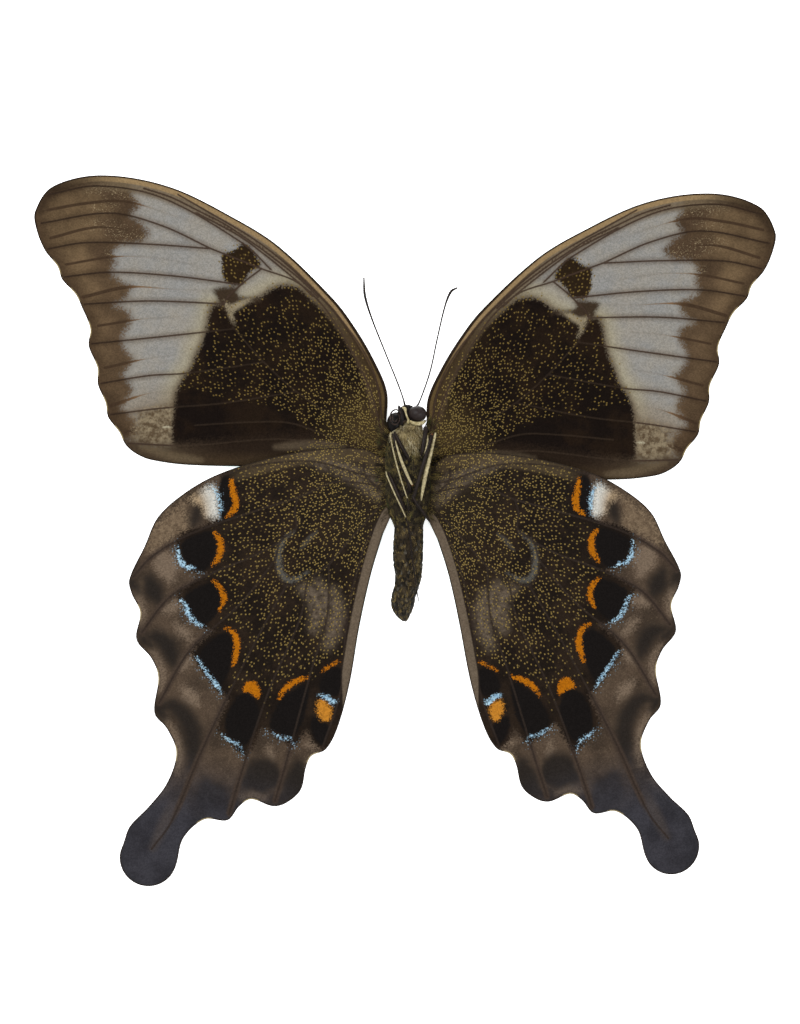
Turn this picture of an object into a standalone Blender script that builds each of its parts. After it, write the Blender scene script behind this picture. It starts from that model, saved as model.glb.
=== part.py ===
"""Peranthus swallowtail, a set dry specimen lying on its back with the underside up.

The head points along +Y, the wings spread along X and the floor is z = 0. The animal's right
side is at -X. Plans are in millimetres as (u, v): u runs outward from the body's axis and v
runs forward from the middle of the whole specimen. Heights are millimetres above the floor.
"""

import math

import bmesh
import bpy
import numpy as np
from mathutils import Vector
from mathutils.geometry import delaunay_2d_cdt

MM = 0.001
GAP = 0.3
BODY_X = 0.43

# Wings: half the thickness of the membrane, and the veins raised on it
HALF_MEMBRANE = 0.25
VEIN_RISE = 0.2
VEIN_RISE_BELOW = 0.1
VEIN_HALF_WIDTH_AT_BASE = 0.5
VEIN_NARROWING = 0.005
OUTLINE_STEP = 2.0
VEIN_STEP = 3.4
FIELD_STEP = 4.5
FIELD_CLEARANCE = 1.5
MARGIN_CLEARANCE = 0.3

# Heights of the wings' middle surface: the forewing sinks to the floor towards its tip, and
# the hindwing lies over it and sinks towards its tail
FORE_HINGE_HEIGHT = 2.05
FORE_REACH_TO_FLOOR = 37.0
FORE_SAG = 1.5
HIND_OVER_FORE = 1.1
HIND_LEVEL_TO = 5.0
HIND_FLOOR_FROM = -38.0

# The animal's left wings were set a little lower and shorter in the span than the right ones,
# and more of the left hindwing's inner edge is folded under beside the abdomen
RIGHT_FIT = {
    "fore": {"turn": 0.0, "span": 1.0, "chord": 1.0, "lean": 0.0, "shift": (0.0, 0.0)},
    "hind": {"turn": 0.0, "span": 1.0, "chord": 1.0, "lean": 0.0, "shift": (0.0, 0.0)},
}
LEFT_FIT = {
    "fore": {"turn": -1.8, "span": 0.974, "chord": 0.998, "lean": -0.002, "shift": (-0.65, -0.94)},
    "hind": {"turn": 2.35, "span": 0.968, "chord": 0.983, "lean": 0.007, "shift": (0.22, -0.84)},
}
SIDES = {"right": (-1, RIGHT_FIT), "left": (1, LEFT_FIT)}
INNER_FOLD = {"right": 0.0, "left": 0.45}
INNER_FOLD_FROM = -16.0

# Forewing: front edge from the shoulder to the tip, the outer edge's lobes at the vein ends
# with the depth of the notch after each, and the rear edge back to the hinge
FORE_FRONT = [
    (2.75, 13.9), (2.7, 18.0), (4.4, 22.1), (6.8, 26.1), (9.6, 29.7), (16.6, 36.4),
    (22.0, 39.9), (30.7, 44.2), (39.5, 45.7), (45.7, 44.3), (47.9, 41.2), (47.8, 38.9),
]
FORE_LOBES = [
    ((46.7, 36.2), 0.35), ((44.5, 32.5), 0.3), ((42.0, 29.0), 0.6), ((41.1, 24.0), 0.45),
    ((39.9, 19.0), 0.25), ((38.6, 14.8), 0.2), ((36.4, 11.3), 0.0),
]
NOTCH_AT = 0.6
FORE_REAR = [(35.2, 10.2), (33.2, 9.3), (28.0, 8.6), (16.4, 8.4), (9.0, 8.4), (4.8, 9.0)]
FORE_HINGE = (9.5, 12.6)

# Forewing veins, from the hinge outward
FORE_VEINS = {
    "subcosta": [(3.1, 12.9), (4.3, 20.2), (7.7, 26.1), (14.0, 32.9), (19.5, 37.4), (25.8, 41.2)],
    "radius": [(3.3, 12.4), (5.0, 18.6), (10.0, 27.8), (14.0, 31.9), (18.8, 33.8), (25.3, 36.4)],
    "radial_2": [(17.6, 33.7), (21.1, 37.0), (31.7, 43.0), (39.9, 44.5), (46.2, 43.4)],
    "radial_4": [(25.3, 36.4), (31.7, 39.4), (38.3, 41.0), (47.2, 39.7)],
    "radial_5": [(25.3, 36.4), (33.3, 37.0), (41.5, 37.2), (46.3, 36.4)],
    "medial_1": [(21.7, 31.8), (30.1, 32.9), (38.3, 33.4), (44.2, 32.8)],
    "medial_2": [(23.6, 29.3), (33.3, 29.7), (41.6, 29.3)],
    "medial_3": [(22.3, 26.1), (31.7, 25.1), (40.7, 24.2)],
    "cubital_1": [(18.5, 21.8), (28.4, 20.4), (33.3, 20.1), (39.5, 19.1)],
    "cubital_2": [(14.3, 18.0), (24.1, 16.5), (31.7, 15.9), (38.2, 15.1)],
    "anal": [(3.6, 10.9), (7.3, 10.9), (16.6, 11.9), (28.4, 11.1), (36.0, 11.4)],
    "cell_end": [(18.8, 33.8), (21.5, 31.7), (23.6, 29.3), (22.3, 26.1)],
    "cubitus": [(3.5, 11.6), (7.7, 13.6), (14.3, 18.0), (18.5, 21.8), (22.3, 26.1)],
}

# Hindwing: front edge, lobes and notches down to the tail, the tail's round head, and the
# lobes and notches back to the inner edge
HIND_FRONT = [
    (3.6, 9.6), (5.6, 10.6), (11.3, 10.6), (18.4, 9.3), (24.6, 7.3), (28.8, 4.9), (32.1, 1.9),
    (33.8, -1.8), (35.8, -6.1), (35.5, -7.9), (34.4, -10.3), (34.9, -13.8), (33.0, -16.2),
    (32.1, -18.6), (32.6, -23.3), (31.0, -25.3), (29.8, -28.4), (31.0, -32.3), (33.4, -35.4),
    (35.8, -37.9),
]
TAIL_HEAD_CENTRE = (33.4, -41.9)
TAIL_HEAD_RADIUS = 3.7
TAIL_HEAD_ARC = (30.0, -165.0)
TAIL_HEAD_POINTS = 9
HIND_INNER = [
    (28.9, -39.4), (26.2, -37.0), (23.2, -37.1), (21.7, -35.3), (20.2, -34.4), (17.4, -35.3),
    (15.7, -34.9), (13.8, -33.2), (13.1, -30.2), (12.4, -28.8), (10.6, -28.0), (9.1, -25.3),
    (7.5, -19.5), (6.2, -12.0), (4.7, -5.3), (3.2, -0.3),
]
HIND_HINGE = (2.3, 8.4)

# Hindwing veins, from the hinge outward
HIND_VEINS = {
    "subcosta": [(3.5, 7.0), (5.6, 7.3), (12.0, 9.0), (18.9, 8.6), (24.0, 7.2)],
    "radial_sector": [
        (3.5, 5.9), (9.2, 6.4), (14.1, 4.4), (18.9, 2.9), (28.0, -0.3), (32.9, -3.2), (35.3, -5.8),
    ],
    "medial_1": [(16.3, -1.2), (19.8, -3.1), (24.7, -5.1), (30.5, -8.3), (34.2, -12.9)],
    "medial_2": [(17.0, -3.6), (21.5, -9.2), (28.0, -15.2), (32.0, -22.0)],
    "medial_3": [
        (15.6, -6.9), (17.7, -10.6), (21.5, -17.8), (26.4, -27.9), (30.5, -37.4), (33.0, -40.8),
    ],
    "cubital_1": [(12.9, -6.1), (13.8, -11.0), (17.9, -20.5), (21.5, -31.2), (23.0, -36.3)],
    "cubital_2": [(10.1, -4.1), (10.4, -11.0), (12.3, -17.4), (15.9, -30.5), (17.1, -34.6)],
    "anal": [(3.3, 2.3), (5.6, -2.0), (7.8, -11.0), (8.6, -20.2), (11.0, -27.8)],
    "cell_front": [(14.1, 4.4), (14.5, 2.6), (14.3, 0.5), (16.3, -1.2), (17.0, -3.6)],
    "cell_end": [(17.0, -3.6), (16.9, -5.2), (15.6, -6.9), (12.9, -6.1)],
    "cubitus": [(3.5, 3.4), (7.8, -1.4), (10.1, -4.1), (12.9, -6.1)],
}

# Thorax: rows of v, half width, half height, height of the middle, from the neck to the waist
THORAX_ROWS = [
    (13.2, 1.4, 1.8, 3.1), (12.7, 2.0, 2.4, 3.1), (12.2, 2.15, 2.65, 3.05), (11.4, 2.7, 3.1, 3.0),
    (9.6, 2.95, 3.4, 2.9), (7.0, 3.0, 3.45, 2.9), (4.2, 2.9, 3.35, 2.9), (2.2, 2.5, 2.9, 2.85),
    (0.95, 1.9, 2.0, 2.8),
]
# Abdomen: rows of v, half width, half height, height of the middle, sideways bend
ABDOMEN_ROWS = [
    (0.65, 1.8, 1.9, 2.7, 0.1), (-1.0, 1.95, 1.95, 2.6, 0.05), (-3.6, 1.95, 1.95, 2.5, 0.0),
    (-5.6, 1.75, 1.85, 2.4, 0.05), (-6.9, 1.65, 1.75, 2.3, -0.15), (-8.2, 1.6, 1.65, 2.2, -0.55),
    (-9.6, 1.45, 1.5, 2.1, -0.7), (-10.6, 0.95, 1.1, 2.0, -0.65), (-11.3, 0.4, 0.5, 2.0, -0.45),
]
ABDOMEN_SEGMENTS = 8
SEGMENT_GROOVE = 0.06
BODY_SIDES = 20

# Head and eyes as ellipsoids: centre (x from the body's axis, v, height) and half sizes
HEAD = ((-0.1, 14.7, 3.0), (1.4, 1.55, 1.7))
EYES = {
    "right": ((-1.5, 14.7, 3.4), (1.0, 1.3, 1.1)),
    "left": ((1.25, 15.1, 3.7), (1.1, 1.02, 1.15)),
}
EYE_SOCKET_GAP = 0.25
NECK_BLOCK = 8.0

# Feelers: points as (x from the body's axis, v, height), and the radius at each
ANTENNAE = {
    "right": [(-0.4, 2.6), (-1.28, 18.9, 2.7), (-2.8, 22.7, 2.9), (-4.6, 27.4, 3.1),
              (-5.5, 30.2, 3.2), (-5.65, 32.5, 3.2)],
    "left": [(0.75, 2.4), (1.6, 17.0, 2.5), (2.8, 20.5, 2.7), (4.7, 28.9, 3.1),
             (5.45, 30.6, 3.2), (6.3, 31.2, 3.2)],
}
ANTENNA_RADII = [0.26, 0.25, 0.25, 0.26, 0.32, 0.16]

# Tongue: a flat coil over the right eye, fed from the mouth
COIL_CENTRE = (-1.75, 14.5, 5.35)
COIL_RADII = (0.88, 0.28)
COIL_TURNS = 1.1
COIL_START = -25.0
TONGUE_RADIUS = 0.25
MOUTH = (-0.55, 14.1)

# Lip feelers beside the tongue: root as (x, v), middle and tip as (x, v, height), and the radius
PALPS = {
    "right": ((0.05, 14.1), [(-0.2, 14.9, 5.25), (-0.5, 15.6, 4.95)], 0.25),
    "left": ((0.5, 13.95), [(1.1, 13.8, 4.5), (1.75, 13.75, 4.15)], 0.26),
}

# Legs folded on the underside: hip as (x, v), then points as (x, v, height above the floor)
LEGS = {
    "fore_right": ((-0.55, 10.2), [(-0.8, 11.0, 6.75), (-1.25, 12.0, 6.3), (-1.55, 12.6, 5.7)]),
    "fore_left": ((1.35, 9.6), [(1.75, 10.6, 6.35), (2.1, 11.9, 5.75), (2.3, 13.0, 5.2)]),
    "mid_right": ((0.35, 5.9), [(-0.3, 8.0, 6.95), (-1.4, 11.2, 6.35), (-1.9, 12.35, 5.95),
                                (-2.25, 11.9, 5.75), (-1.5, 8.6, 6.5), (-0.35, 5.2, 6.95),
                                (-0.2, 3.0, 6.75)]),
    "mid_left": ((0.9, 5.4), [(1.6, 8.0, 6.65), (2.4, 11.0, 5.6), (2.95, 12.2, 5.2),
                              (3.25, 11.6, 5.1), (2.6, 8.0, 5.8), (1.95, 5.2, 6.35),
                              (1.5, 2.6, 6.2)]),
    "hind_right": ((-0.95, 3.4), [(-1.5, 4.8, 6.5), (-2.15, 6.5, 6.0), (-2.65, 7.45, 5.5),
                                  (-2.8, 6.8, 5.25), (-1.9, 4.0, 5.75), (-0.6, 1.6, 5.9),
                                  (0.15, -1.0, 5.1), (0.6, -4.6, 4.9), (0.95, -7.6, 4.6),
                                  (1.35, -8.9, 4.2)]),
    "hind_left": ((0.45, 4.0), [(1.0, 3.0, 6.6), (1.9, 2.2, 6.0), (2.8, 1.3, 5.1)]),
}
LEG_RADIUS = 0.26
LEG_TIP_RADIUS = 0.12

COLOURS = {
    "forewing": ((0.060, 0.045, 0.030), 0.7),
    "hindwing": ((0.030, 0.022, 0.015), 0.7),
    "thorax": ((0.045, 0.040, 0.022), 0.8),
    "abdomen": ((0.040, 0.032, 0.018), 0.7),
    "head": ((0.120, 0.100, 0.050), 0.8),
    "eye": ((0.028, 0.022, 0.022), 0.35),
    "feeler": ((0.010, 0.009, 0.008), 0.5),
    "palp": ((0.400, 0.330, 0.150), 0.9),
    "leg": ((0.014, 0.012, 0.012), 0.5),
}


def clear_scene():
    for obj in list(bpy.data.objects):
        bpy.data.objects.remove(obj, do_unlink=True)


def collection_named(name):
    collection = bpy.data.collections.new(name)
    bpy.context.scene.collection.children.link(collection)
    return collection


def material_named(name):
    colour, roughness = COLOURS[name]
    material = bpy.data.materials.new(name)
    material.use_nodes = True
    shader = material.node_tree.nodes["Principled BSDF"]
    shader.inputs["Base Color"].default_value = (*colour, 1.0)
    shader.inputs["Roughness"].default_value = roughness
    shader.inputs["Metallic"].default_value = 0.0
    return material


def add_object(name, mesh, collection, material):
    obj = bpy.data.objects.new(name, mesh)
    mesh.materials.append(material)
    collection.objects.link(obj)
    return obj


def world(x, v, height):
    """A point given from the body's axis, in metres."""
    return Vector(((BODY_X + x) * MM, v * MM, height * MM))


def spline_through(points, step, closed=False):
    """Points about step apart on a smooth curve through the given ones, in two or three axes."""
    points = [np.array(point, float) for point in points]
    count = len(points)
    last = count if closed else count - 1
    result = []
    for i in range(last):
        if closed:
            a, b, c, d = (points[(i + k) % count] for k in (-1, 0, 1, 2))
        else:
            b, c = points[i], points[i + 1]
            a = points[i - 1] if i > 0 else 2 * b - c
            d = points[i + 2] if i + 2 < count else 2 * c - b
        pieces = max(1, round(np.linalg.norm(c - b) / step))
        chord = np.linalg.norm(c - b)
        before = (c - a) * chord / max(np.linalg.norm(b - a) + chord, 1e-9)
        after = (d - b) * chord / max(np.linalg.norm(d - c) + chord, 1e-9)
        for k in range(pieces):
            t = k / pieces
            result.append(
                (2 * t**3 - 3 * t**2 + 1) * b
                + (t**3 - 2 * t**2 + t) * before
                + (3 * t**2 - 2 * t**3) * c
                + (t**3 - t**2) * after
            )
    if not closed:
        result.append(points[-1])
    return result


def row_at(rows, v):
    """The values of a body's rows at v, read between its rows."""
    stations = [row[0] for row in reversed(rows)]
    return [
        float(np.interp(v, stations, [row[k] for row in reversed(rows)]))
        for k in range(1, len(rows[0]))
    ]


def thorax_side(v, height):
    """How far out the thorax reaches at v and this height."""
    half_width, half_height, middle = row_at(THORAX_ROWS, v)
    across = 1.0 - ((height - middle) / half_height) ** 2
    return half_width * math.sqrt(max(across, 0.0))


def thorax_top(x, v):
    """The height of the thorax's underside, which faces up, at x and v."""
    half_width, half_height, middle = row_at(THORAX_ROWS, v)
    across = 1.0 - (x / half_width) ** 2
    return middle + half_height * math.sqrt(max(across, 0.0))


def smooth_step(t):
    t = min(max(t, 0.0), 1.0)
    return t * t * (3.0 - 2.0 * t)


def fore_height(u, v):
    """Height of the forewing's middle surface above the floor."""
    rest = max(0.0, 1.0 - u / FORE_REACH_TO_FLOOR)
    return HALF_MEMBRANE + (FORE_HINGE_HEIGHT - HALF_MEMBRANE) * rest**FORE_SAG


def hind_height(u, v):
    """Height of the hindwing's middle surface above the floor."""
    over = fore_height(u, v) + HIND_OVER_FORE
    down = smooth_step((HIND_LEVEL_TO - v) / (HIND_LEVEL_TO - HIND_FLOOR_FROM))
    return HALF_MEMBRANE + (over - HALF_MEMBRANE) * (1.0 - down)


def fitted(point, fit):
    """A point of the right wing's plan, moved to where this side's wing was set."""
    u, v = point
    along = u * fit["span"] + v * fit["lean"]
    across = v * fit["chord"] + u * fit["lean"]
    turn = math.radians(fit["turn"])
    return (
        along * math.cos(turn) - across * math.sin(turn) + fit["shift"][0],
        along * math.sin(turn) + across * math.cos(turn) + fit["shift"][1],
    )


def lobed_edge(lobes):
    """Points of an edge that runs from lobe to lobe and dips in by each lobe's depth after it."""
    points = []
    for (here, depth), (there, _) in zip(lobes, lobes[1:]):
        here = np.array(here)
        there = np.array(there)
        along = (there - here) / np.linalg.norm(there - here)
        inward = np.array((along[1], -along[0]))
        points.append(tuple(here))
        points.append(tuple(here + (there - here) * NOTCH_AT + inward * depth))
    points.append(lobes[-1][0])
    return points


def arc(centre, radius, degrees, count):
    start, end = degrees
    return [
        (
            centre[0] + radius * math.cos(math.radians(start + (end - start) * k / (count - 1))),
            centre[1] + radius * math.sin(math.radians(start + (end - start) * k / (count - 1))),
        )
        for k in range(count)
    ]


def hinge_points(stretch, height_of):
    """The wing's root edge, the gap away from the thorax's side, from its rear end forward."""
    rear, front = stretch
    points = []
    for k in range(4):
        v = rear + (front - rear) * k / 3
        side = thorax_side(v, height_of(0.0, v))
        points.append((side + GAP, v))
    return points


def inner_edge(fold):
    """The hindwing's edge from the tail to the hinge, less what is folded under at the abdomen."""
    return [
        (u + fold * smooth_step((v - INNER_FOLD_FROM) / -INNER_FOLD_FROM), v)
        for u, v in HIND_INNER
    ]


def wing_outline(kind, side_name, fit):
    if kind == "fore":
        edge = FORE_FRONT + lobed_edge(FORE_LOBES) + FORE_REAR
        hinge = hinge_points(FORE_HINGE, fore_height)
    else:
        head = arc(TAIL_HEAD_CENTRE, TAIL_HEAD_RADIUS, TAIL_HEAD_ARC, TAIL_HEAD_POINTS)
        edge = HIND_FRONT + head + inner_edge(INNER_FOLD[side_name])
        hinge = hinge_points(HIND_HINGE, hind_height)
    free = spline_through([fitted(point, fit) for point in edge], OUTLINE_STEP)
    return [np.array(point) for point in hinge] + free


def inside(point, loop):
    """Whether a plan point lies inside a closed loop."""
    hit = False
    for (x1, y1), (x2, y2) in zip(loop, loop[1:] + loop[:1]):
        if (y1 > point[1]) != (y2 > point[1]):
            if point[0] < (x2 - x1) * (point[1] - y1) / (y2 - y1) + x1:
                hit = not hit
    return hit


def distance_to_line(point, line, closed=False):
    """Distance from a plan point to a polyline."""
    start = np.array(line if closed else line[:-1])
    end = np.array(line[1:] + line[:1] if closed else line[1:])
    along = end - start
    reach = np.einsum("ij,ij->i", point - start, along) / np.einsum("ij,ij->i", along, along)
    nearest = start + along * np.clip(reach, 0.0, 1.0)[:, None]
    return float(np.linalg.norm(point - nearest, axis=1).min())


def vein_half_width(point):
    return VEIN_HALF_WIDTH_AT_BASE - VEIN_NARROWING * point[0]


def vein_strip(line, others, outline):
    """The vein's middle line and its two edges, left out near other veins and the margin."""
    strips = [[(point, True) for point in line], [], []]
    for i, point in enumerate(line):
        along = line[min(i + 1, len(line) - 1)] - line[max(i - 1, 0)]
        across = np.array((-along[1], along[0])) / np.linalg.norm(along)
        for k, sign in ((1, 1), (2, -1)):
            edge = point + across * sign * vein_half_width(point)
            clear = inside(edge, outline) and distance_to_line(edge, outline, True) > MARGIN_CLEARANCE
            clear = clear and all(
                distance_to_line(edge, other) > 0.8 * vein_half_width(point) for other in others
            )
            strips[k].append((edge, clear))
    return strips


def wing_plan(outline, veins):
    """Points and triangles of the wing's plan, with an edge along each vein and its two sides."""
    points = [Vector(point) for point in outline]
    edges = [(i, (i + 1) % len(outline)) for i in range(len(outline))]
    for name, line in veins.items():
        others = [other for key, other in veins.items() if key != name]
        for strip in vein_strip(line, others, outline):
            last = None
            for point, clear in strip:
                if clear:
                    points.append(Vector(point))
                    if last is not None:
                        edges.append((last, len(points) - 1))
                last = len(points) - 1 if clear else None
    low = np.min(outline, axis=0)
    high = np.max(outline, axis=0)
    taken = [np.array(point) for point in points]
    for u in np.arange(low[0], high[0], FIELD_STEP):
        for v in np.arange(low[1], high[1], FIELD_STEP):
            point = np.array((u, v))
            if not inside(point, outline):
                continue
            if min(np.linalg.norm(point - other) for other in taken) > FIELD_CLEARANCE:
                points.append(Vector(point))
    found = delaunay_2d_cdt(points, edges, [], 1, 1e-5)
    return [np.array(point) for point in found[0]], found[2]


def wing_mesh(name, kind, side_name):
    """A membrane alike in its triangles on both faces, with its veins raised in the surface."""
    side, fits = SIDES[side_name]
    fit = fits[kind]
    height_of = fore_height if kind == "fore" else hind_height
    table = FORE_VEINS if kind == "fore" else HIND_VEINS
    outline = wing_outline(kind, side_name, fit)
    veins = {
        key: spline_through([fitted(point, fit) for point in line], VEIN_STEP)
        for key, line in table.items()
    }
    plan, triangles = wing_plan(outline, veins)
    mesh = bmesh.new()
    upper = []
    lower = []
    for point in plan:
        middle = height_of(*point)
        nearest = min(distance_to_line(point, line) for line in veins.values())
        crest = max(0.0, 1.0 - nearest / vein_half_width(point))
        top = middle + HALF_MEMBRANE + VEIN_RISE * crest
        bottom = max(0.0, middle - HALF_MEMBRANE - VEIN_RISE_BELOW * crest)
        upper.append(mesh.verts.new(world(side * point[0], point[1], top)))
        lower.append(mesh.verts.new(world(side * point[0], point[1], bottom)))
    used = {}
    for a, b, c in triangles:
        mesh.faces.new((upper[a], upper[b], upper[c]))
        mesh.faces.new((lower[c], lower[b], lower[a]))
        for start, end in ((a, b), (b, c), (c, a)):
            used[start, end] = True
    for start, end in used:
        if (end, start) not in used:
            mesh.faces.new((upper[start], lower[start], lower[end]))
            mesh.faces.new((upper[start], lower[end], upper[end]))
    bmesh.ops.recalc_face_normals(mesh, faces=mesh.faces)
    data = bpy.data.meshes.new(name)
    mesh.to_mesh(data)
    mesh.free()
    return data


def loft_mesh(name, rings):
    """A closed body through rings of points, with a flat face at each end."""
    mesh = bmesh.new()
    loops = [[mesh.verts.new(point) for point in ring] for ring in rings]
    for first, second in zip(loops, loops[1:]):
        for i in range(len(first)):
            j = (i + 1) % len(first)
            mesh.faces.new((first[i], first[j], second[j], second[i]))
    mesh.faces.new(loops[0])
    mesh.faces.new(loops[-1])
    bmesh.ops.recalc_face_normals(mesh, faces=mesh.faces)
    bmesh.ops.triangulate(mesh, faces=mesh.faces)
    data = bpy.data.meshes.new(name)
    mesh.to_mesh(data)
    mesh.free()
    data.shade_smooth()
    return data


def body_ring(v, half_width, half_height, middle, bend=0.0):
    """A cross section, cut flat where it would reach below the floor."""
    ring = []
    for k in range(BODY_SIDES):
        turn = 2 * math.pi * (k + 0.5) / BODY_SIDES
        height = middle + half_height * math.sin(turn)
        ring.append(world(bend + half_width * math.cos(turn), v, max(height, 0.0)))
    return ring


def add_thorax(collection):
    rings = [body_ring(*row) for row in THORAX_ROWS]
    return add_object("thorax", loft_mesh("thorax", rings), collection, material_named("thorax"))


def add_abdomen(collection):
    """The abdomen, drawn in a little at each joint between its segments."""
    front = ABDOMEN_ROWS[0][0]
    rear = ABDOMEN_ROWS[-1][0]
    rings = []
    for i in range(ABDOMEN_SEGMENTS):
        for share, groove in ((0.0, 1.0 - SEGMENT_GROOVE), (0.3, 1.0), (0.75, 1.0)):
            v = front + (rear - front) * (i + share) / ABDOMEN_SEGMENTS
            half_width, half_height, middle, bend = row_at(ABDOMEN_ROWS, v)
            rings.append(body_ring(v, half_width * groove, half_height * groove, middle, bend))
    rings.append(body_ring(*ABDOMEN_ROWS[-1]))
    return add_object("abdomen", loft_mesh("abdomen", rings), collection, material_named("abdomen"))


def ellipsoid_mesh(name, centre, half_sizes, rings=14, sides=20):
    mesh = bmesh.new()
    bmesh.ops.create_uvsphere(mesh, u_segments=sides, v_segments=rings, radius=1.0)
    x, v, height = centre
    for vertex in mesh.verts:
        vertex.co = world(
            x + vertex.co.x * half_sizes[0],
            v + vertex.co.y * half_sizes[1],
            height + vertex.co.z * half_sizes[2],
        )
    data = bpy.data.meshes.new(name)
    mesh.to_mesh(data)
    mesh.free()
    data.shade_smooth()
    return data


def add_eyes(collection):
    material = material_named("eye")
    for side, (centre, half_sizes) in EYES.items():
        name = "eye_" + side
        add_object(name, ellipsoid_mesh(name, centre, half_sizes), collection, material)


def cut_away(target, name, mesh, cutters, material):
    cutter = add_object(name, mesh, cutters, material)
    cutter.hide_render = True
    cutter.display_type = "WIRE"
    cut = target.modifiers.new(name, "BOOLEAN")
    cut.operation = "DIFFERENCE"
    cut.object = cutter


def neck_block(name):
    """A block behind the head whose front face is the gap away from the thorax's front face."""
    mesh = bmesh.new()
    bmesh.ops.create_cube(mesh, size=NECK_BLOCK * MM)
    front = THORAX_ROWS[0][0] + GAP
    middle = THORAX_ROWS[0][3]
    bmesh.ops.translate(mesh, verts=mesh.verts, vec=world(0.0, front - NECK_BLOCK / 2, middle))
    data = bpy.data.meshes.new(name)
    mesh.to_mesh(data)
    mesh.free()
    return data


def add_head(collection, cutters):
    """The head's core with a socket for each eye and a flat face towards the neck."""
    material = material_named("head")
    head = add_object("head", ellipsoid_mesh("head", *HEAD), collection, material)
    for side, (centre, half_sizes) in EYES.items():
        name = "socket_" + side
        grown = tuple(half + EYE_SOCKET_GAP for half in half_sizes)
        cut_away(head, name, ellipsoid_mesh(name, centre, grown), cutters, material)
    cut_away(head, "neck_cut", neck_block("neck_cut"), cutters, material)


def head_front(x, height):
    """How far forward the head's core reaches at x and this height."""
    centre, half_sizes = HEAD
    left = 1.0 - ((x - centre[0]) / half_sizes[0]) ** 2 - ((height - centre[2]) / half_sizes[2]) ** 2
    return centre[1] + half_sizes[1] * math.sqrt(max(left, 0.0))


def head_top(x, v):
    """The height of the head's underside, which faces up, at x and v."""
    centre, half_sizes = HEAD
    left = 1.0 - ((x - centre[0]) / half_sizes[0]) ** 2 - ((v - centre[1]) / half_sizes[1]) ** 2
    return centre[2] + half_sizes[2] * math.sqrt(max(left, 0.0))


def tube_mesh(name, points, radii, step):
    """A closed tube through points (x, v, height), round in section, with its radius at each."""
    along = spline_through([(*point, radius) for point, radius in zip(points, radii)], step)
    curve = bpy.data.curves.new(name, "CURVE")
    curve.dimensions = "3D"
    curve.bevel_depth = MM
    curve.bevel_resolution = 2
    curve.use_fill_caps = True
    spline = curve.splines.new("POLY")
    spline.points.add(len(along) - 1)
    for target, (x, v, height, radius) in zip(spline.points, along):
        target.co = (*world(x, v, height), 1.0)
        target.radius = radius
    return curve


def add_tube(name, points, radii, step, collection, material):
    obj = bpy.data.objects.new(name, tube_mesh(name, points, radii, step))
    obj.data.materials.append(material)
    collection.objects.link(obj)
    return obj


def add_antennae(collection):
    material = material_named("feeler")
    for side, ((x, height), *rest) in ANTENNAE.items():
        root = (x, head_front(x, height) + GAP, height)
        add_tube("antenna_" + side, [root, *rest], ANTENNA_RADII, 1.2, collection, material)


def add_proboscis(collection):
    x, v = MOUTH
    root = head_top(x, v) + GAP
    points = [(x, v, root), (x - 0.08, v, root + 0.45)]
    turns = 14
    for k in range(turns + 1):
        turn = math.radians(COIL_START + 360.0 * COIL_TURNS * k / turns)
        radius = COIL_RADII[0] + (COIL_RADII[1] - COIL_RADII[0]) * k / turns
        points.append((
            COIL_CENTRE[0] + radius * math.cos(turn),
            COIL_CENTRE[1] + radius * math.sin(turn),
            COIL_CENTRE[2],
        ))
    radii = [TONGUE_RADIUS] * (len(points) - 1) + [0.6 * TONGUE_RADIUS]
    add_tube("proboscis", points, radii, 0.4, collection, material_named("feeler"))


def add_palps(collection):
    material = material_named("palp")
    for side, ((x, v), rest, radius) in PALPS.items():
        root = (x, v, head_top(x, v) + GAP)
        radii = [0.8 * radius, radius, 0.5 * radius]
        add_tube("palp_" + side, [root, *rest], radii, 0.4, collection, material)


def add_legs(collection):
    material = material_named("leg")
    for name, ((x, v), rest) in LEGS.items():
        root = thorax_top(x, v) + GAP
        points = [(x, v, root), *rest]
        radii = [LEG_RADIUS] * (len(points) - 2) + [0.8 * LEG_RADIUS, LEG_TIP_RADIUS]
        add_tube("leg_" + name, points, radii, 0.6, collection, material)


def add_wings(collection):
    for kind in ("fore", "hind"):
        material = material_named(kind + "wing")
        for side_name in SIDES:
            name = kind + "wing_" + side_name
            add_object(name, wing_mesh(name, kind, side_name), collection, material)


def main():
    clear_scene()
    butterfly = collection_named("peranthus_swallowtail")
    cutters = collection_named("cutters")
    add_thorax(butterfly)
    add_abdomen(butterfly)
    add_head(butterfly, cutters)
    add_eyes(butterfly)
    add_antennae(butterfly)
    add_proboscis(butterfly)
    add_palps(butterfly)
    add_legs(butterfly)
    add_wings(butterfly)


main()
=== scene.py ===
"""Looks of the peranthus swallowtail, a set dry specimen lying on its back, underside up.

Plans are in millimetres as (u, v): u runs outward from the body's axis and v runs towards the
head from the middle of the specimen. Body points are (x, v, height), with x from the axis.
"""

import math

import bpy
import numpy as np
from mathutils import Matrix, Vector
from mathutils.geometry import delaunay_2d_cdt


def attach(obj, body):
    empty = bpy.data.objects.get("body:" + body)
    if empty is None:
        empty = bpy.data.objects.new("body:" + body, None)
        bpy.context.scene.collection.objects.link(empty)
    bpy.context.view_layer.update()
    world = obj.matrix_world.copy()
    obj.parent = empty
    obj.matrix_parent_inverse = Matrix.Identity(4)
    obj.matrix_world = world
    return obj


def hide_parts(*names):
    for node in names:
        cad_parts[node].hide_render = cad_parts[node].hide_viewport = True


MM = 0.001
BODY_X = 0.43
SEED = 7

# Share of a screen colour that a pigment needs under the studio's bright light
PIGMENT = 0.66
WING_GLOSS = 0.015
HORN_GLOSS = 0.1

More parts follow.
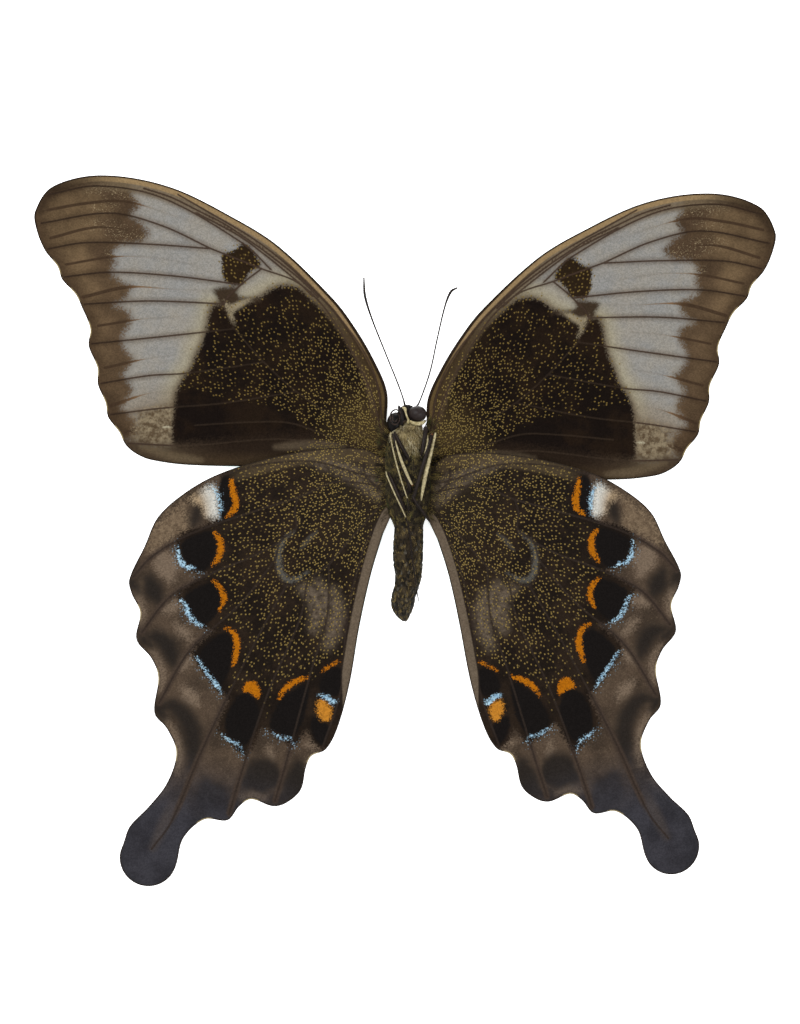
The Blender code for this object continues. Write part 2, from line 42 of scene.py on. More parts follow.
# Gold flecks: their gap near the wing's base in millimetres, how the gap widens outward, the
# places that both are measured from, and the gap on the body
FLECK_GAP = 0.24
FLECK_WIDENS = 0.2
SKIN_FLECK_GAP = 0.3
FORE_BASE = (2.6, 10.6)
HIND_BASE = (2.6, 5.6)

# Camera: straight above the specimen, with the image's middle at this plan place, and the
# image's height in millimetres at the level of the view plane
VIEW_MIDDLE = (-0.59, 2.56)
VIEW_HEIGHT_MM = 131.1
VIEW_PLANE = 0.002
LENS = 100.0
SENSOR = 36.0
CLIP = (0.01, 10.0)

# Studio: the white card's half width and glow, the sky, and each light's place, size and power
CARD_HALF = 1.5
CARD_GLOW = 0.9
SKY_STRENGTH = 0.75
LIGHTS = {
    "key": ((-0.35, 0.4, 0.7), 0.7, 8.5),
    "fill": ((0.5, -0.2, 0.6), 0.6, 3.4),
}

# Wing sheets: half thickness in the field and at the edge, and the veins' ridges
HALF_SHEET = 0.11
HALF_EDGE = 0.03
EDGE_TAPER = 0.6
VEIN_RIDGE = 0.1
VEIN_SPREAD = 0.17
LOWER_RIDGE_SHARE = 0.3
FLOOR_CLEARANCE = 0.02

# Plan mesh of a wing: spacing of its points, and how far these keep from lines and edge
WING_STEP = 0.42
WING_ROW_STEP = 0.87 * WING_STEP
OUTLINE_STEP = 0.4
VEIN_STEP = 0.5
VEIN_FLANKS = (0.16, 0.38)
OFF_LINES = 0.55
OFF_EDGE = 0.22

# Steps along the lines that the wings' fields are measured from, the depth far from all
# strokes, and how much farther off than a vein a streak counts
FIELD_STEP = 0.6
ZONE_STEP = 0.5
STROKE_STEP = 0.4
FAR_OUTSIDE = -50.0
STREAK_BEHIND_VEIN = 0.5

# Heights of the wings' middle surfaces, as the solids have them
FORE_HINGE_HEIGHT = 2.05
FORE_REACH_TO_FLOOR = 37.0
FORE_SAG = 1.5
HIND_OVER_FORE = 0.85
HIND_LEVEL_TO = 5.0
HIND_FLOOR_FROM = -38.0
SOLID_HALF = 0.25

# A dried wing's ripple, and the height of the wing where it is full
RIPPLE_HEIGHT = 0.1
RIPPLE_FULL_AT = 1.2

# How each side's wings were set, against the plan of the right ones
RIGHT_FIT = {
    "fore": {"turn": 0.0, "span": 1.0, "chord": 1.0, "lean": 0.0, "shift": (0.0, 0.0)},
    "hind": {"turn": 0.0, "span": 1.0, "chord": 1.0, "lean": 0.0, "shift": (0.0, 0.0)},
}
LEFT_FIT = {
    "fore": {"turn": -1.8, "span": 0.974, "chord": 0.998, "lean": -0.002, "shift": (-0.65, -0.94)},
    "hind": {"turn": 2.35, "span": 0.968, "chord": 0.983, "lean": 0.007, "shift": (0.22, -0.84)},
}
SIDES = {"right": (-1, RIGHT_FIT), "left": (1, LEFT_FIT)}

# Outward fold of the hindwing's inner edge on each side, and the v that it grows from
INNER_FOLD = {"right": 0.0, "left": 0.45}
INNER_FOLD_FROM = -16.0

# Forewing outline: front edge, lobes with the notch after each, rear edge, and the root
FORE_FRONT = [
    (2.75, 13.9), (2.7, 18.0), (4.4, 22.1), (6.8, 26.2), (9.5, 29.8), (16.5, 36.6),
    (21.9, 40.1), (30.7, 44.4), (39.5, 45.9), (45.8, 44.4), (48.0, 41.2), (47.8, 38.9),
]
FORE_LOBES = [
    ((46.7, 36.2), 0.35), ((44.5, 32.5), 0.3), ((42.0, 29.0), 0.6), ((41.1, 24.0), 0.45),
    ((39.9, 19.0), 0.25), ((38.6, 14.8), 0.2), ((36.4, 11.3), 0.0),
]
NOTCH_AT = 0.6
FORE_REAR = [(35.2, 10.2), (33.2, 9.3), (28.0, 8.6), (16.4, 8.4), (9.0, 8.4), (4.8, 9.0)]
FORE_ROOT = [(2.3, 8.8), (2.2, 11.0), (2.1, 12.8)]

FORE_VEINS = {
    "subcosta": [
        (3.1, 12.9), (4.3, 20.2), (7.7, 26.1), (14.0, 32.9), (19.5, 37.4), (25.8, 41.2), (29.6, 43.4),
    ],
    "radius": [(3.3, 12.4), (5.0, 18.6), (10.0, 27.8), (14.0, 31.9), (18.8, 33.8), (25.3, 36.4)],
    "radial_2": [(17.6, 33.7), (21.1, 37.0), (31.7, 43.0), (39.9, 44.5), (46.2, 43.4)],
    "radial_4": [(25.3, 36.4), (31.7, 39.4), (38.3, 41.0), (47.2, 39.7)],
    "radial_5": [(25.3, 36.4), (33.3, 37.0), (41.5, 37.2), (46.3, 36.4)],
    "medial_1": [(21.7, 31.8), (30.1, 32.9), (38.3, 33.4), (44.2, 32.8)],
    "medial_2": [(23.6, 29.3), (33.3, 29.7), (41.6, 29.3)],
    "medial_3": [(22.3, 26.1), (31.7, 25.1), (40.7, 24.2)],
    "cubital_1": [(18.5, 21.8), (28.4, 20.4), (33.3, 20.1), (39.5, 19.1)],
    "cubital_2": [(14.3, 18.0), (24.1, 16.5), (31.7, 15.9), (38.2, 15.1)],
    "anal": [(3.6, 10.9), (7.3, 10.9), (16.6, 11.9), (28.4, 11.1), (36.0, 11.4)],
    "anal_fold": [(7.7, 11.2), (14.8, 13.9), (20.0, 14.1), (27.4, 13.7)],
    "cell_end": [(18.8, 33.8), (21.5, 31.7), (23.6, 29.3), (22.3, 26.1)],
    "cubitus": [(3.5, 11.6), (7.7, 13.6), (14.3, 18.0), (18.5, 21.8), (22.3, 26.1)],
    "cross": [(7.3, 10.9), (5.9, 12.1)],
    "radial_1": [
        (11.5, 30.1), (13.8, 32.4), (16.4, 34.5), (18.9, 36.4), (21.5, 38.2), (23.8, 39.7), (26.6, 41.1),
        (30.4, 43.0), (34.0, 44.2),
    ],
    "radial_3": [
        (12.3, 30.3), (13.8, 31.8), (16.4, 34.0), (18.9, 36.0), (20.9, 37.5), (23.0, 38.8), (27.2, 41.0),
    ],
}
# Brown streaks between the veins, from the inner end to the margin, with their half width
FORE_STREAKS = [
    ([(24.4, 38.7), (29.9, 40.6), (36.3, 42.5), (41.2, 42.3), (46.4, 41.4)], 0.2),
    ([(34.4, 38.6), (40.0, 39.2), (46.0, 37.8)], 0.2),
    ([(27.6, 34.4), (33.0, 35.3), (37.8, 35.4), (44.0, 34.4)], 0.17),
    ([(24.7, 31.0), (30.0, 31.2), (36.0, 31.5), (41.8, 30.2)], 0.24),
    ([(29.4, 27.7), (34.0, 27.4), (39.9, 26.5)], 0.17),
    ([(30.0, 22.8), (34.0, 22.2), (39.0, 21.1)], 0.19),
    ([(30.3, 18.0), (33.4, 17.8), (38.3, 16.2)], 0.22),
    ([(30.9, 13.7), (34.4, 13.3), (36.4, 12.7)], 0.3),
]
FORE_ZONES = {
    "discal": [
        (23.7, 35.8), (22.5, 36.1), (21.1, 37.1), (20.2, 36.4), (19.3, 35.2), (18.9, 34.2), (19.8, 33.7),
        (20.5, 33.0), (21.1, 32.0), (22.0, 31.7), (23.3, 32.0), (23.8, 33.0), (23.9, 34.6),
    ],
    "basal": [
        (24.9, 29.1), (24.1, 29.2), (22.9, 28.9), (21.8, 28.7), (20.5, 29.5), (18.9, 30.2),
        (17.3, 31.2), (15.7, 31.6), (14.1, 31.2), (12.9, 30.3), (10.1, 27.5), (7.7, 23.8),
        (5.7, 19.5), (4.3, 14.3), (2.6, 9.9), (4.9, 9.0), (7.1, 9.6), (11.3, 10.4),
        (15.7, 10.6), (22.5, 10.4), (26.0, 10.3), (29.2, 10.4), (30.3, 11.6), (30.1, 15.6),
        (29.8, 17.7), (29.0, 19.5), (27.9, 21.0), (27.2, 22.7), (26.0, 25.5), (25.4, 28.3),
    ],
    "wedge": [
        (25.1, 31.2), (23.4, 31.5), (21.8, 31.4), (22.0, 30.6), (20.9, 30.2), (18.7, 29.8), (19.5, 29.5),
        (21.1, 29.7), (22.0, 29.3), (23.0, 28.9), (23.3, 28.2), (23.8, 28.8), (24.3, 29.3), (24.6, 30.1),
        (25.0, 30.8),
    ],
    "bar": [
        (23.7, 29.7), (22.8, 29.2), (21.5, 29.6), (20.1, 30.0), (21.5, 28.9), (22.3, 28.3),
        (22.5, 27.6), (22.2, 26.7), (22.7, 27.1), (23.2, 28.4),
    ],
    "margin": [
        (35.6, 44.6), (35.4, 43.5), (34.6, 41.9), (35.6, 40.7), (34.3, 39.8), (33.3, 38.3),
        (34.6, 37.2), (37.0, 36.9), (37.8, 35.8), (37.5, 34.7), (38.1, 33.4), (36.9, 32.3),
        (35.6, 31.6), (35.9, 30.5), (36.9, 29.5), (37.7, 29.3), (35.9, 28.4), (35.5, 27.3),
        (36.0, 26.3), (36.6, 25.2), (36.7, 24.3), (36.2, 23.3), (35.2, 22.3), (35.8, 21.2),
        (36.6, 20.1), (36.1, 19.5), (35.5, 18.2), (36.0, 17.1), (36.8, 15.9), (36.1, 15.3),
        (34.9, 14.0), (34.7, 12.7), (35.6, 11.9), (36.2, 11.5), (37.0, 9.0), (60.0, 9.0),
        (60.0, 50.0), (36.0, 50.0),
    ],
    "rear": [
        (37.0, 11.7), (32.5, 11.3), (28.0, 11.4), (22.5, 12.0), (15.7, 12.6), (11.3, 12.6),
        (7.1, 11.5), (2.0, 9.5), (2.0, 4.0), (40.0, 4.0),
    ],
    "mottle": [
        (34.6, 15.4), (29.7, 16.3), (30.1, 14.3), (30.2, 12.3), (31.1, 11.0), (33.0, 10.8), (35.2, 11.6),
        (35.0, 13.7),
    ],
    "bare": [
        (33.0, 17.4), (28.0, 18.2), (24.0, 16.7), (18.0, 16.4), (15.5, 15.0), (12.0, 12.4),
        (20.0, 9.0), (33.0, 9.0),
    ],
}

# Further strokes of the forewing: dark, dusted with cream, whitish, and pale and tan at the rear
FORE_STROKES = {
    "apex": [([(47.1, 41.5), (46.5, 43.1), (44.5, 44.4), (42.0, 45.1), (38.8, 45.3)], 0.5)],
    "dusk": [
        ([(39.4, 43.8), (36.6, 42.1), (34.9, 41.3)], 0.9), ([(39.4, 39.9), (36.2, 38.7), (33.9, 38.3)], 1.3),
        ([(40.7, 36.5), (37.9, 35.2)], 1.0),
    ],
    "dust": [
        ([(41.3, 43.8), (38.1, 43.8), (34.9, 43.0)], 0.9), ([(40.7, 41.7), (37.5, 42.0)], 0.9),
        ([(41.3, 39.7), (38.1, 38.9), (34.3, 37.9)], 1.2), ([(38.8, 36.1), (36.9, 35.3)], 0.8),
    ],
    "white": [([(31.7, 13.4), (31.0, 13.5), (30.2, 13.5)], 0.14)],
    "rear_pale": [([(17.0, 10.9), (13.8, 11.1), (10.6, 11.1), (8.2, 10.8)], 0.5)],
    "rear_tan": [([(34.3, 10.9), (32.4, 10.4), (30.2, 9.7), (26.6, 9.2)], 0.5)],
}

# Hindwing outline: front edge and lobes to the tail, the tail's round head, the inner edge
HIND_FRONT = [
    (3.6, 9.6), (5.6, 10.6), (11.3, 10.6), (18.4, 9.3), (24.6, 7.3), (28.8, 4.9), (32.1, 1.9),
    (33.8, -1.8), (35.8, -6.1), (35.5, -7.9), (34.4, -10.3), (34.9, -13.8), (33.0, -16.2),
    (32.1, -18.6), (32.6, -23.3), (31.0, -25.3), (29.8, -28.4), (31.0, -32.3), (33.4, -35.4),
    (35.8, -37.9),
]
TAIL_HEAD_CENTRE = (33.4, -41.9)
TAIL_HEAD_RADIUS = 3.7
TAIL_HEAD_ARC = (30.0, -165.0)
TAIL_HEAD_POINTS = 9
HIND_INNER = [
    (28.9, -39.4), (26.2, -37.0), (23.2, -37.1), (21.7, -35.3), (20.2, -34.4), (17.4, -35.3),
    (15.7, -34.9), (13.8, -33.2), (13.1, -30.2), (12.4, -28.8), (10.6, -28.0), (9.1, -25.3),
    (7.5, -19.5), (6.2, -12.0), (4.7, -5.3), (3.2, -0.3),
]
HIND_ROOT = [(2.2, 2.0), (2.2, 5.0), (2.3, 9.3)]

HIND_VEINS = {
    "subcosta": [(3.5, 7.0), (5.6, 7.3), (12.0, 9.0), (18.9, 8.6), (24.0, 7.2)],
    "humeral": [(3.3, 5.2), (5.5, 7.3), (5.6, 8.8)],
    "radial_sector": [
        (3.5, 5.9), (9.2, 6.4), (14.1, 4.4), (18.9, 2.9), (28.0, -0.3), (32.9, -3.2), (35.3, -5.8),
    ],
    "medial_1": [(16.3, -1.2), (19.8, -3.1), (24.7, -5.1), (30.5, -8.3), (34.2, -12.9)],
    "medial_2": [(17.0, -3.6), (21.5, -9.2), (28.0, -15.2), (32.0, -22.0)],
    "medial_3": [
        (15.6, -6.9), (17.7, -10.6), (21.5, -17.8), (26.4, -27.9), (30.5, -37.4), (33.0, -40.8),
    ],
    "cubital_1": [(12.9, -6.1), (13.8, -11.0), (17.9, -20.5), (21.5, -31.2), (23.0, -36.3)],
    "cubital_2": [(10.1, -4.1), (10.4, -11.0), (12.3, -17.4), (15.9, -30.5), (17.1, -34.6)],
    "anal": [(3.3, 2.3), (5.6, -2.0), (7.8, -11.0), (8.6, -20.2), (11.0, -27.8)],
    "cell_front": [(14.1, 4.4), (14.5, 2.6), (14.3, 0.5), (16.3, -1.2), (17.0, -3.6)],
    "cell_end": [(17.0, -3.6), (16.9, -5.2), (15.6, -6.9), (12.9, -6.1)],
    "cubitus": [(3.5, 3.4), (7.8, -1.4), (10.1, -4.1), (12.9, -6.1)],
}
# Orange inner crescents and blue outer crescents of the eyespots, with their half width
HIND_ORANGE = [
    ([(22.7, 6.9), (22.4, 5.2), (22.1, 3.8), (22.3, 2.8), (23.2, 2.0)], 0.4),
    ([(24.8, -0.1), (24.2, -0.9), (24.0, -2.0), (24.3, -3.3), (25.0, -4.2)], 0.4),
    ([(25.0, -6.3), (24.2, -7.0), (23.6, -8.4), (23.8, -9.3), (24.2, -10.1)], 0.35),
    ([(23.5, -12.3), (22.5, -12.8), (22.0, -14.0), (22.1, -15.6), (22.5, -17.2)], 0.38),
    ([(16.5, -21.4), (16.1, -20.5), (15.4, -19.8), (14.5, -19.3), (13.4, -18.8), (12.8, -18.6)], 0.34),
    ([(11.1, -17.9), (10.4, -17.4), (9.6, -17.0), (8.7, -16.5)], 0.16),
]
HIND_ORANGE_PATCH = [
    (20.9, -19.5), (20.0, -19.1), (19.3, -19.6), (18.9, -20.6), (19.2, -21.5), (19.7, -21.1),
    (20.4, -20.6), (21.4, -20.5), (21.1, -20.0),
]
HIND_BLUE = [
    ([(25.1, 5.8), (24.5, 4.9), (24.1, 3.6), (24.1, 2.0)], 0.28),
    ([(29.5, -1.7), (29.4, -3.2), (29.0, -4.0), (28.4, -4.5), (27.6, -4.6), (26.9, -5.1)], 0.32),
    ([(29.3, -8.7), (28.6, -9.3), (28.2, -10.4), (27.6, -11.4), (26.8, -11.9), (26.1, -12.2)], 0.32),
    ([(27.2, -16.0), (26.0, -17.8), (24.9, -19.3), (24.2, -20.2), (24.0, -20.7)], 0.28),
    ([(23.9, -26.0), (23.4, -26.4), (22.9, -26.9), (22.3, -27.1), (21.6, -27.5), (21.2, -28.6)], 0.22),
    ([(18.0, -25.7), (17.4, -25.7), (16.8, -26.2), (16.0, -26.5), (15.2, -26.5), (14.6, -27.4)], 0.22),
    ([(11.6, -21.0), (10.9, -21.1), (10.1, -21.5), (9.5, -22.0), (9.1, -21.5)], 0.38),
]
HIND_SPOTS = [
    [(24.1, 6.5), (23.0, 7.3), (22.6, 6.0), (22.6, 2.2), (23.4, 1.6), (24.0, 1.8)],
    [(28.8, -1.2), (26.6, -0.1), (25.2, 0.1), (24.7, -1.0), (24.7, -2.7), (25.6, -4.6), (26.6, -5.1),
     (27.5, -4.5), (28.4, -4.0), (29.2, -1.9)],
    [(28.7, -8.2), (26.2, -6.7), (24.8, -6.4), (24.2, -7.4), (24.3, -10.0), (26.0, -11.9),
     (27.1, -11.5), (27.9, -10.2), (28.4, -9.1)],
    [(26.8, -15.5), (24.6, -13.4), (23.6, -12.9), (22.7, -13.6), (22.4, -14.8), (23.0, -17.9),
     (24.3, -20.0), (25.1, -18.9), (26.6, -16.4)],
    [(21.9, -21.1), (20.7, -20.7), (19.7, -21.5), (19.1, -23.6), (20.6, -27.3), (21.1, -27.6),
     (22.0, -26.9), (23.3, -26.1), (23.4, -23.8), (22.7, -22.3)],
    [(16.4, -21.6), (14.2, -20.0), (13.2, -19.5), (12.7, -20.2), (13.4, -24.1), (14.8, -26.4),
     (15.9, -26.2), (17.7, -25.2), (17.7, -24.3), (17.2, -23.0)],
    [(10.8, -18.3), (10.0, -17.5), (9.0, -17.3), (8.3, -17.9), (8.3, -19.3), (9.2, -21.1),
     (10.0, -20.9), (11.0, -20.9), (11.4, -19.6)],
    [(12.2, -23.8), (11.5, -23.9), (10.1, -25.0), (10.4, -26.4), (10.9, -27.5), (11.6, -27.1),
     (12.3, -25.7), (12.5, -24.6)],
]
HIND_ANAL_OVAL = [
    (11.5, -21.6), (10.6, -21.6), (9.9, -22.3), (9.7, -23.3), (10.1, -24.3), (10.9, -24.4),
    (11.4, -23.8), (11.8, -22.8),
]
HIND_ZONES = {
    "cream": [
        (25.1, 6.1), (24.4, 5.1), (24.3, 4.1), (24.3, 1.8), (25.6, 1.8), (26.2, 2.3), (26.5, 3.3),
        (27.0, 3.6), (27.6, 3.8), (27.9, 4.4), (26.6, 5.2), (25.7, 5.9),
    ],
    "tan": [
        (28.4, 4.1), (29.7, 3.2), (31.4, 1.9), (32.6, 0.5), (33.5, -1.7), (33.0, -2.6), (31.7, -1.7),
        (29.8, -0.6), (28.2, 0.3), (28.2, 1.5), (28.4, 2.8),
    ],
    "outer": [
        (24.3, 9.5), (23.9, 5.8), (23.9, 2.0), (24.9, 1.3), (29.1, -0.2), (29.7, -2.0), (28.7, -4.4),
        (26.9, -5.2), (25.9, -5.3), (29.5, -7.8), (29.1, -9.0), (28.1, -10.9), (26.1, -12.4),
        (24.9, -12.5), (27.7, -15.4), (26.1, -18.1), (24.1, -20.7), (23.1, -21.4), (24.5, -25.4),
        (22.9, -27.0), (21.1, -28.7), (19.8, -27.4), (18.5, -25.2), (16.3, -26.8), (14.5, -27.4),
        (13.0, -25.6), (12.1, -27.4), (10.1, -28.6), (10.0, -50.0), (60.0, -50.0), (60.0, 9.5),
    ],
}
# Strokes of the hindwing: dark smudges and lobe tips, light notches and patches, pale lines, of which those
# near the root are tan streaks with a painted sheen
HIND_STROKES = {
    "smudge": [
        ([(33.3, -6.1), (32.6, -7.7), (32.0, -8.7)], 1.1),
        ([(33.3, -13.4), (31.7, -13.8), (30.6, -15.1), (30.1, -16.9)], 1.0),
        ([(31.5, -22.5), (30.1, -22.4), (28.7, -23.6), (27.8, -25.6), (27.6, -27.9), (28.0, -30.2)], 1.1),
        ([(26.0, -32.6), (25.2, -34.2), (23.8, -35.6)], 2.0),
        ([(20.6, -32.1), (18.7, -31.4), (16.8, -32.0)], 2.3),
        ([(14.0, -30.2), (14.3, -32.4), (15.7, -33.9)], 1.7),
        ([(27.0, 3.3), (27.1, 2.3), (27.5, 1.0)], 0.6),
        ([(35.3, -4.2), (35.5, -6.1), (34.7, -7.7)], 0.5),
        ([(34.6, -12.5), (34.0, -13.8), (33.0, -14.6)], 0.5),
        ([(32.0, -21.8), (32.0, -23.0), (31.4, -23.8)], 0.6),
        ([(24.8, -36.2), (23.3, -36.1), (22.1, -35.1)], 0.6),
        ([(17.4, -34.3), (15.4, -33.8), (14.0, -32.4), (13.4, -31.1)], 0.8),
    ],
    "light": [
        ([(34.9, -7.7), (34.4, -9.1), (34.2, -10.6), (34.4, -12.0)], 0.5),
        ([(33.0, -15.4), (32.1, -16.5), (31.6, -18.3), (31.9, -20.5)], 0.45),
        ([(31.0, -24.3), (30.0, -26.0), (29.4, -28.5), (29.7, -31.1)], 0.45),
        ([(28.3, -37.9), (26.9, -36.6), (25.6, -36.2)], 0.4),
        ([(21.5, -34.3), (20.0, -33.8), (18.2, -34.2)], 0.5),
        ([(13.1, -31.1), (12.4, -29.6), (11.0, -28.2)], 0.6),
        ([(31.1, -33.0), (33.0, -35.3), (34.9, -37.6)], 0.3),
        ([(29.8, -42.5), (29.1, -39.7), (27.9, -37.9)], 0.35),
        ([(32.0, -2.6), (31.1, -4.2), (30.5, -5.9)], 1.5),
        ([(31.4, -10.0), (29.2, -9.3)], 0.7), ([(29.8, -11.9), (27.9, -13.8)], 0.6),
        ([(27.9, -16.0), (29.2, -17.5)], 0.6), ([(28.8, -20.2), (27.1, -22.1)], 0.9),
        ([(17.9, -27.6), (17.4, -29.3)], 0.4), ([(13.0, -27.3), (11.6, -27.6)], 0.4),
        ([(8.6, -21.6), (8.9, -23.6), (9.6, -25.6)], 0.4),
    ],
    "pale": [
        ([(13.4, -7.2), (12.0, -8.2), (11.5, -10.2), (12.0, -12.3)], 0.8),
        ([(9.6, -7.7), (9.2, -10.0), (9.6, -12.8), (10.2, -14.5)], 0.75),
        ([(11.5, -6.5), (10.5, -8.7), (11.0, -11.3)], 0.5), ([(11.5, 8.7), (9.3, 8.1), (7.4, 6.8)], 0.1),
        ([(5.4, 7.7), (4.5, 6.7), (3.5, 5.5)], 0.35), ([(6.9, 6.9), (5.4, 5.8), (3.8, 4.5)], 0.3),
        ([(13.8, 9.6), (10.6, 9.2), (8.1, 8.3), (5.9, 7.6)], 0.25),
    ],
    "crease": [([(13.8, -2.3), (12.8, -1.0), (11.6, 0.1)], 0.3)],
    "shaft": [([(29.2, -33.0), (31.2, -37.2), (32.8, -40.6)], 0.5)],
}
HIND_NOTCHES = [
    (34.4, -10.3), (32.1, -18.6), (29.8, -28.4), (26.2, -37.0), (20.2, -34.4), (12.4, -28.8),
]
NOTCH_LIGHT = 1.3
HIND_RING = [
    (14.6, 0.0), (15.5, -0.6), (16.3, -1.7), (16.6, -3.1), (16.5, -4.5), (16.1, -5.5), (15.5, -6.1),
    (14.6, -6.1), (13.6, -5.7), (12.7, -5.0),
]

# The body's skin: v, half width, half height, height of the middle, sideways bend
SKIN_ROWS = [
    (-11.45, 0.05, 0.05, 2.0, -0.45), (-11.25, 0.38, 0.42, 2.0, -0.47),
    (-10.6, 0.88, 0.98, 2.0, -0.65), (-9.6, 1.36, 1.4, 2.1, -0.7), (-8.2, 1.52, 1.55, 2.2, -0.55),
    (-6.9, 1.56, 1.65, 2.3, -0.15), (-5.6, 1.66, 1.75, 2.4, 0.05), (-3.6, 1.86, 1.85, 2.5, 0.0),
    (-1.0, 1.87, 1.85, 2.6, 0.05), (0.4, 1.8, 1.9, 2.7, 0.1), (1.2, 1.95, 2.2, 2.8, 0.05),
    (2.2, 2.4, 2.75, 2.85, 0.0), (4.2, 2.8, 3.15, 2.9, 0.0), (7.0, 2.9, 3.25, 2.9, 0.0),
    (9.6, 2.85, 3.2, 2.9, 0.0), (11.4, 2.6, 2.9, 3.0, 0.0), (12.5, 2.3, 2.3, 3.05, -0.05),
    (13.2, 1.85, 1.75, 3.1, 0.0), (13.7, 1.6, 1.6, 3.1, 0.2), (14.3, 1.35, 1.5, 3.05, 0.0),
    (15.0, 1.25, 1.45, 3.0, -0.1), (15.6, 1.05, 1.2, 3.0, -0.1), (16.05, 0.6, 0.7, 3.0, -0.1),
    (16.25, 0.05, 0.05, 3.0, -0.1),
]
SKIN_STEP = 0.12
SKIN_SIDES = 72
LEAST_GIRTH = 0.02
LEAST_HEIGHT = 0.03
ABDOMEN_FROM = 0.6
ABDOMEN_TO = -11.3
ABDOMEN_SEGMENTS = 8
SEGMENT_GROOVE = 0.045
LAST_GROOVE = 7.6

# Coat: hairs in a bunch, a hair's rings as (share along, girth), its flatness, droop and
# curl, and the width of its patch on OFBake
BUNCH = 12
HAIR_RINGS = ((0.0, 1.0), (0.4, 0.8), (0.75, 0.45))
HAIR_FLAT = 0.6
DROOP = 0.35
CURL = 0.12
BAKE_PATCH = 0.003
ROOT_DEPTH = 0.05
WING_HAIR_WIDTH = 0.03

EYES = {
    "right": ((-1.67, 13.87, 3.4), (1.04, 1.34, 1.12)),
    "left": ((1.18, 15.04, 4.08), (1.2, 1.04, 1.26)),
}
EYE_RINGS = 40
EYE_SIDES = 64
ANTENNAE = {
    "right": [(-0.36, 16.0, 2.9), (-0.6, 17.0, 2.8), (-1.27, 18.9, 2.8), (-2.81, 22.7, 2.9),
              (-4.67, 27.4, 3.1), (-5.5, 30.2, 3.2), (-5.63, 32.5, 3.2)],
    "left": [(0.95, 15.8, 2.6), (1.45, 16.6, 2.6), (2.82, 20.5, 2.7), (3.72, 24.6, 2.9),
             (4.74, 28.9, 3.1), (5.5, 30.7, 3.2), (6.34, 31.2, 3.2)],
}
ANTENNA_RADIUS = 0.1
CLUB_RADIUS = 0.17
ANTENNA_RING = 0.26

COIL_CENTRE = (-1.6, 14.5, 5.0)
COIL_RADII = ((0.84, 1.2), (0.24, 0.34))
COIL_TURNS = 2.1
COIL_START = -40.0
COIL_POINTS = 46
TONGUE_RADIUS = 0.085
TONGUE_RING = 0.16
LABRUM = [
    (-1.17, 16.1, 4.7), (-1.1, 15.75, 4.8), (-0.85, 15.1, 4.85), (-0.74, 14.35, 4.9), (-0.85, 13.6, 4.75),
]
LABRUM_RADII = [0.1, 0.2, 0.3, 0.32, 0.22]


def seen(red, green, blue):
    """The pigment that shows this screen colour, from 0 to 255, under the studio's light."""
    values = [channel / 255.0 for channel in (red, green, blue)]
    linear = [c / 12.92 if c <= 0.04045 else ((c + 0.055) / 1.055) ** 2.4 for c in values]
    return (*(PIGMENT * c for c in linear), 1.0)


def blend(low, high, value):
    """0 below low, 1 above high, and smooth between them."""
    t = np.clip((np.asarray(value, float) - low) / (high - low), 0.0, 1.0)
    return t * t * (3.0 - 2.0 * t)


def spline_through(points, step, closed=False):
    """Points about step apart on a smooth curve through the given ones."""
    points = [np.array(point, float) for point in points]
    count = len(points)
    last = count if closed else count - 1
    result = []
    for i in range(last):
        if closed:
            a, b, c, d = (points[(i + k) % count] for k in (-1, 0, 1, 2))
        else:
            b, c = points[i], points[i + 1]
            a = points[i - 1] if i > 0 else 2 * b - c
            d = points[i + 2] if i + 2 < count else 2 * c - b
        chord = np.linalg.norm(c - b)
        pieces = max(1, round(chord / step))
        before = (c - a) * chord / max(np.linalg.norm(b - a) + chord, 1e-9)
        after = (d - b) * chord / max(np.linalg.norm(d - c) + chord, 1e-9)
        for k in range(pieces):
            t = k / pieces
            result.append(
                (2 * t**3 - 3 * t**2 + 1) * b
                + (t**3 - 2 * t**2 + t) * before
                + (3 * t**2 - 2 * t**3) * c
                + (t**3 - t**2) * after
            )
    if not closed:
        result.append(points[-1])
    return np.array(result)


def way_along(points):
    """How far along a line of points each of them is."""
    return np.concatenate(([0.0], np.cumsum(np.linalg.norm(np.diff(points, axis=0), axis=1))))


def nearest_on(points, line):
    """Each point's distance to a line, and how far along the line its nearest place is."""
    line = np.asarray(line, float)
    start = line[:-1]
    along = line[1:] - start
    lengths = np.linalg.norm(along, axis=1)
    offset = points[:, None] - start[None]
    share = np.clip(np.einsum("nsk,sk->ns", offset, along) / lengths**2, 0.0, 1.0)
    gap = np.linalg.norm(offset - share[..., None] * along, axis=2)
    best = gap.argmin(axis=1)
    rows = np.arange(len(points))
    travelled = np.concatenate(([0.0], np.cumsum(lengths)))
    place = (travelled[best] + share[rows, best] * lengths[best]) / travelled[-1]
    return gap[rows, best], place


def inside(points, loop):
    loop = np.asarray(loop, float)
    x, y = points[:, 0, None], points[:, 1, None]
    x1, y1 = loop[:, 0], loop[:, 1]
    x2, y2 = np.roll(loop, -1, axis=0).T
    crosses = (y1 > y) != (y2 > y)
    at = (x2 - x1) * (y - y1) / np.where(y2 == y1, 1.0, y2 - y1) + x1
    return (crosses & (x < at)).sum(axis=1) % 2 == 1


def depth_in(points, loop):
    """Distance to a closed loop's edge, positive inside it and negative outside."""
    edge = spline_through(loop, ZONE_STEP, closed=True)
    gap, _ = nearest_on(points, np.vstack((edge, edge[:1])))
    return np.where(inside(points, edge), gap, -gap)


def stroke_depth(points, strokes, thin_start=False):
    """Depth inside the nearest of several strokes, each a line with its half width."""
    depth = np.full(len(points), FAR_OUTSIDE)
    for line, half_width in strokes:
        gap, place = nearest_on(points, spline_through(line, STROKE_STEP))
        rounded = np.sin(np.pi * np.clip(place, 0.04, 0.96)) ** 0.4
        width = half_width * (blend(0.0, 0.7, place) if thin_start else rounded)
        depth = np.maximum(depth, width - gap)
    return depth


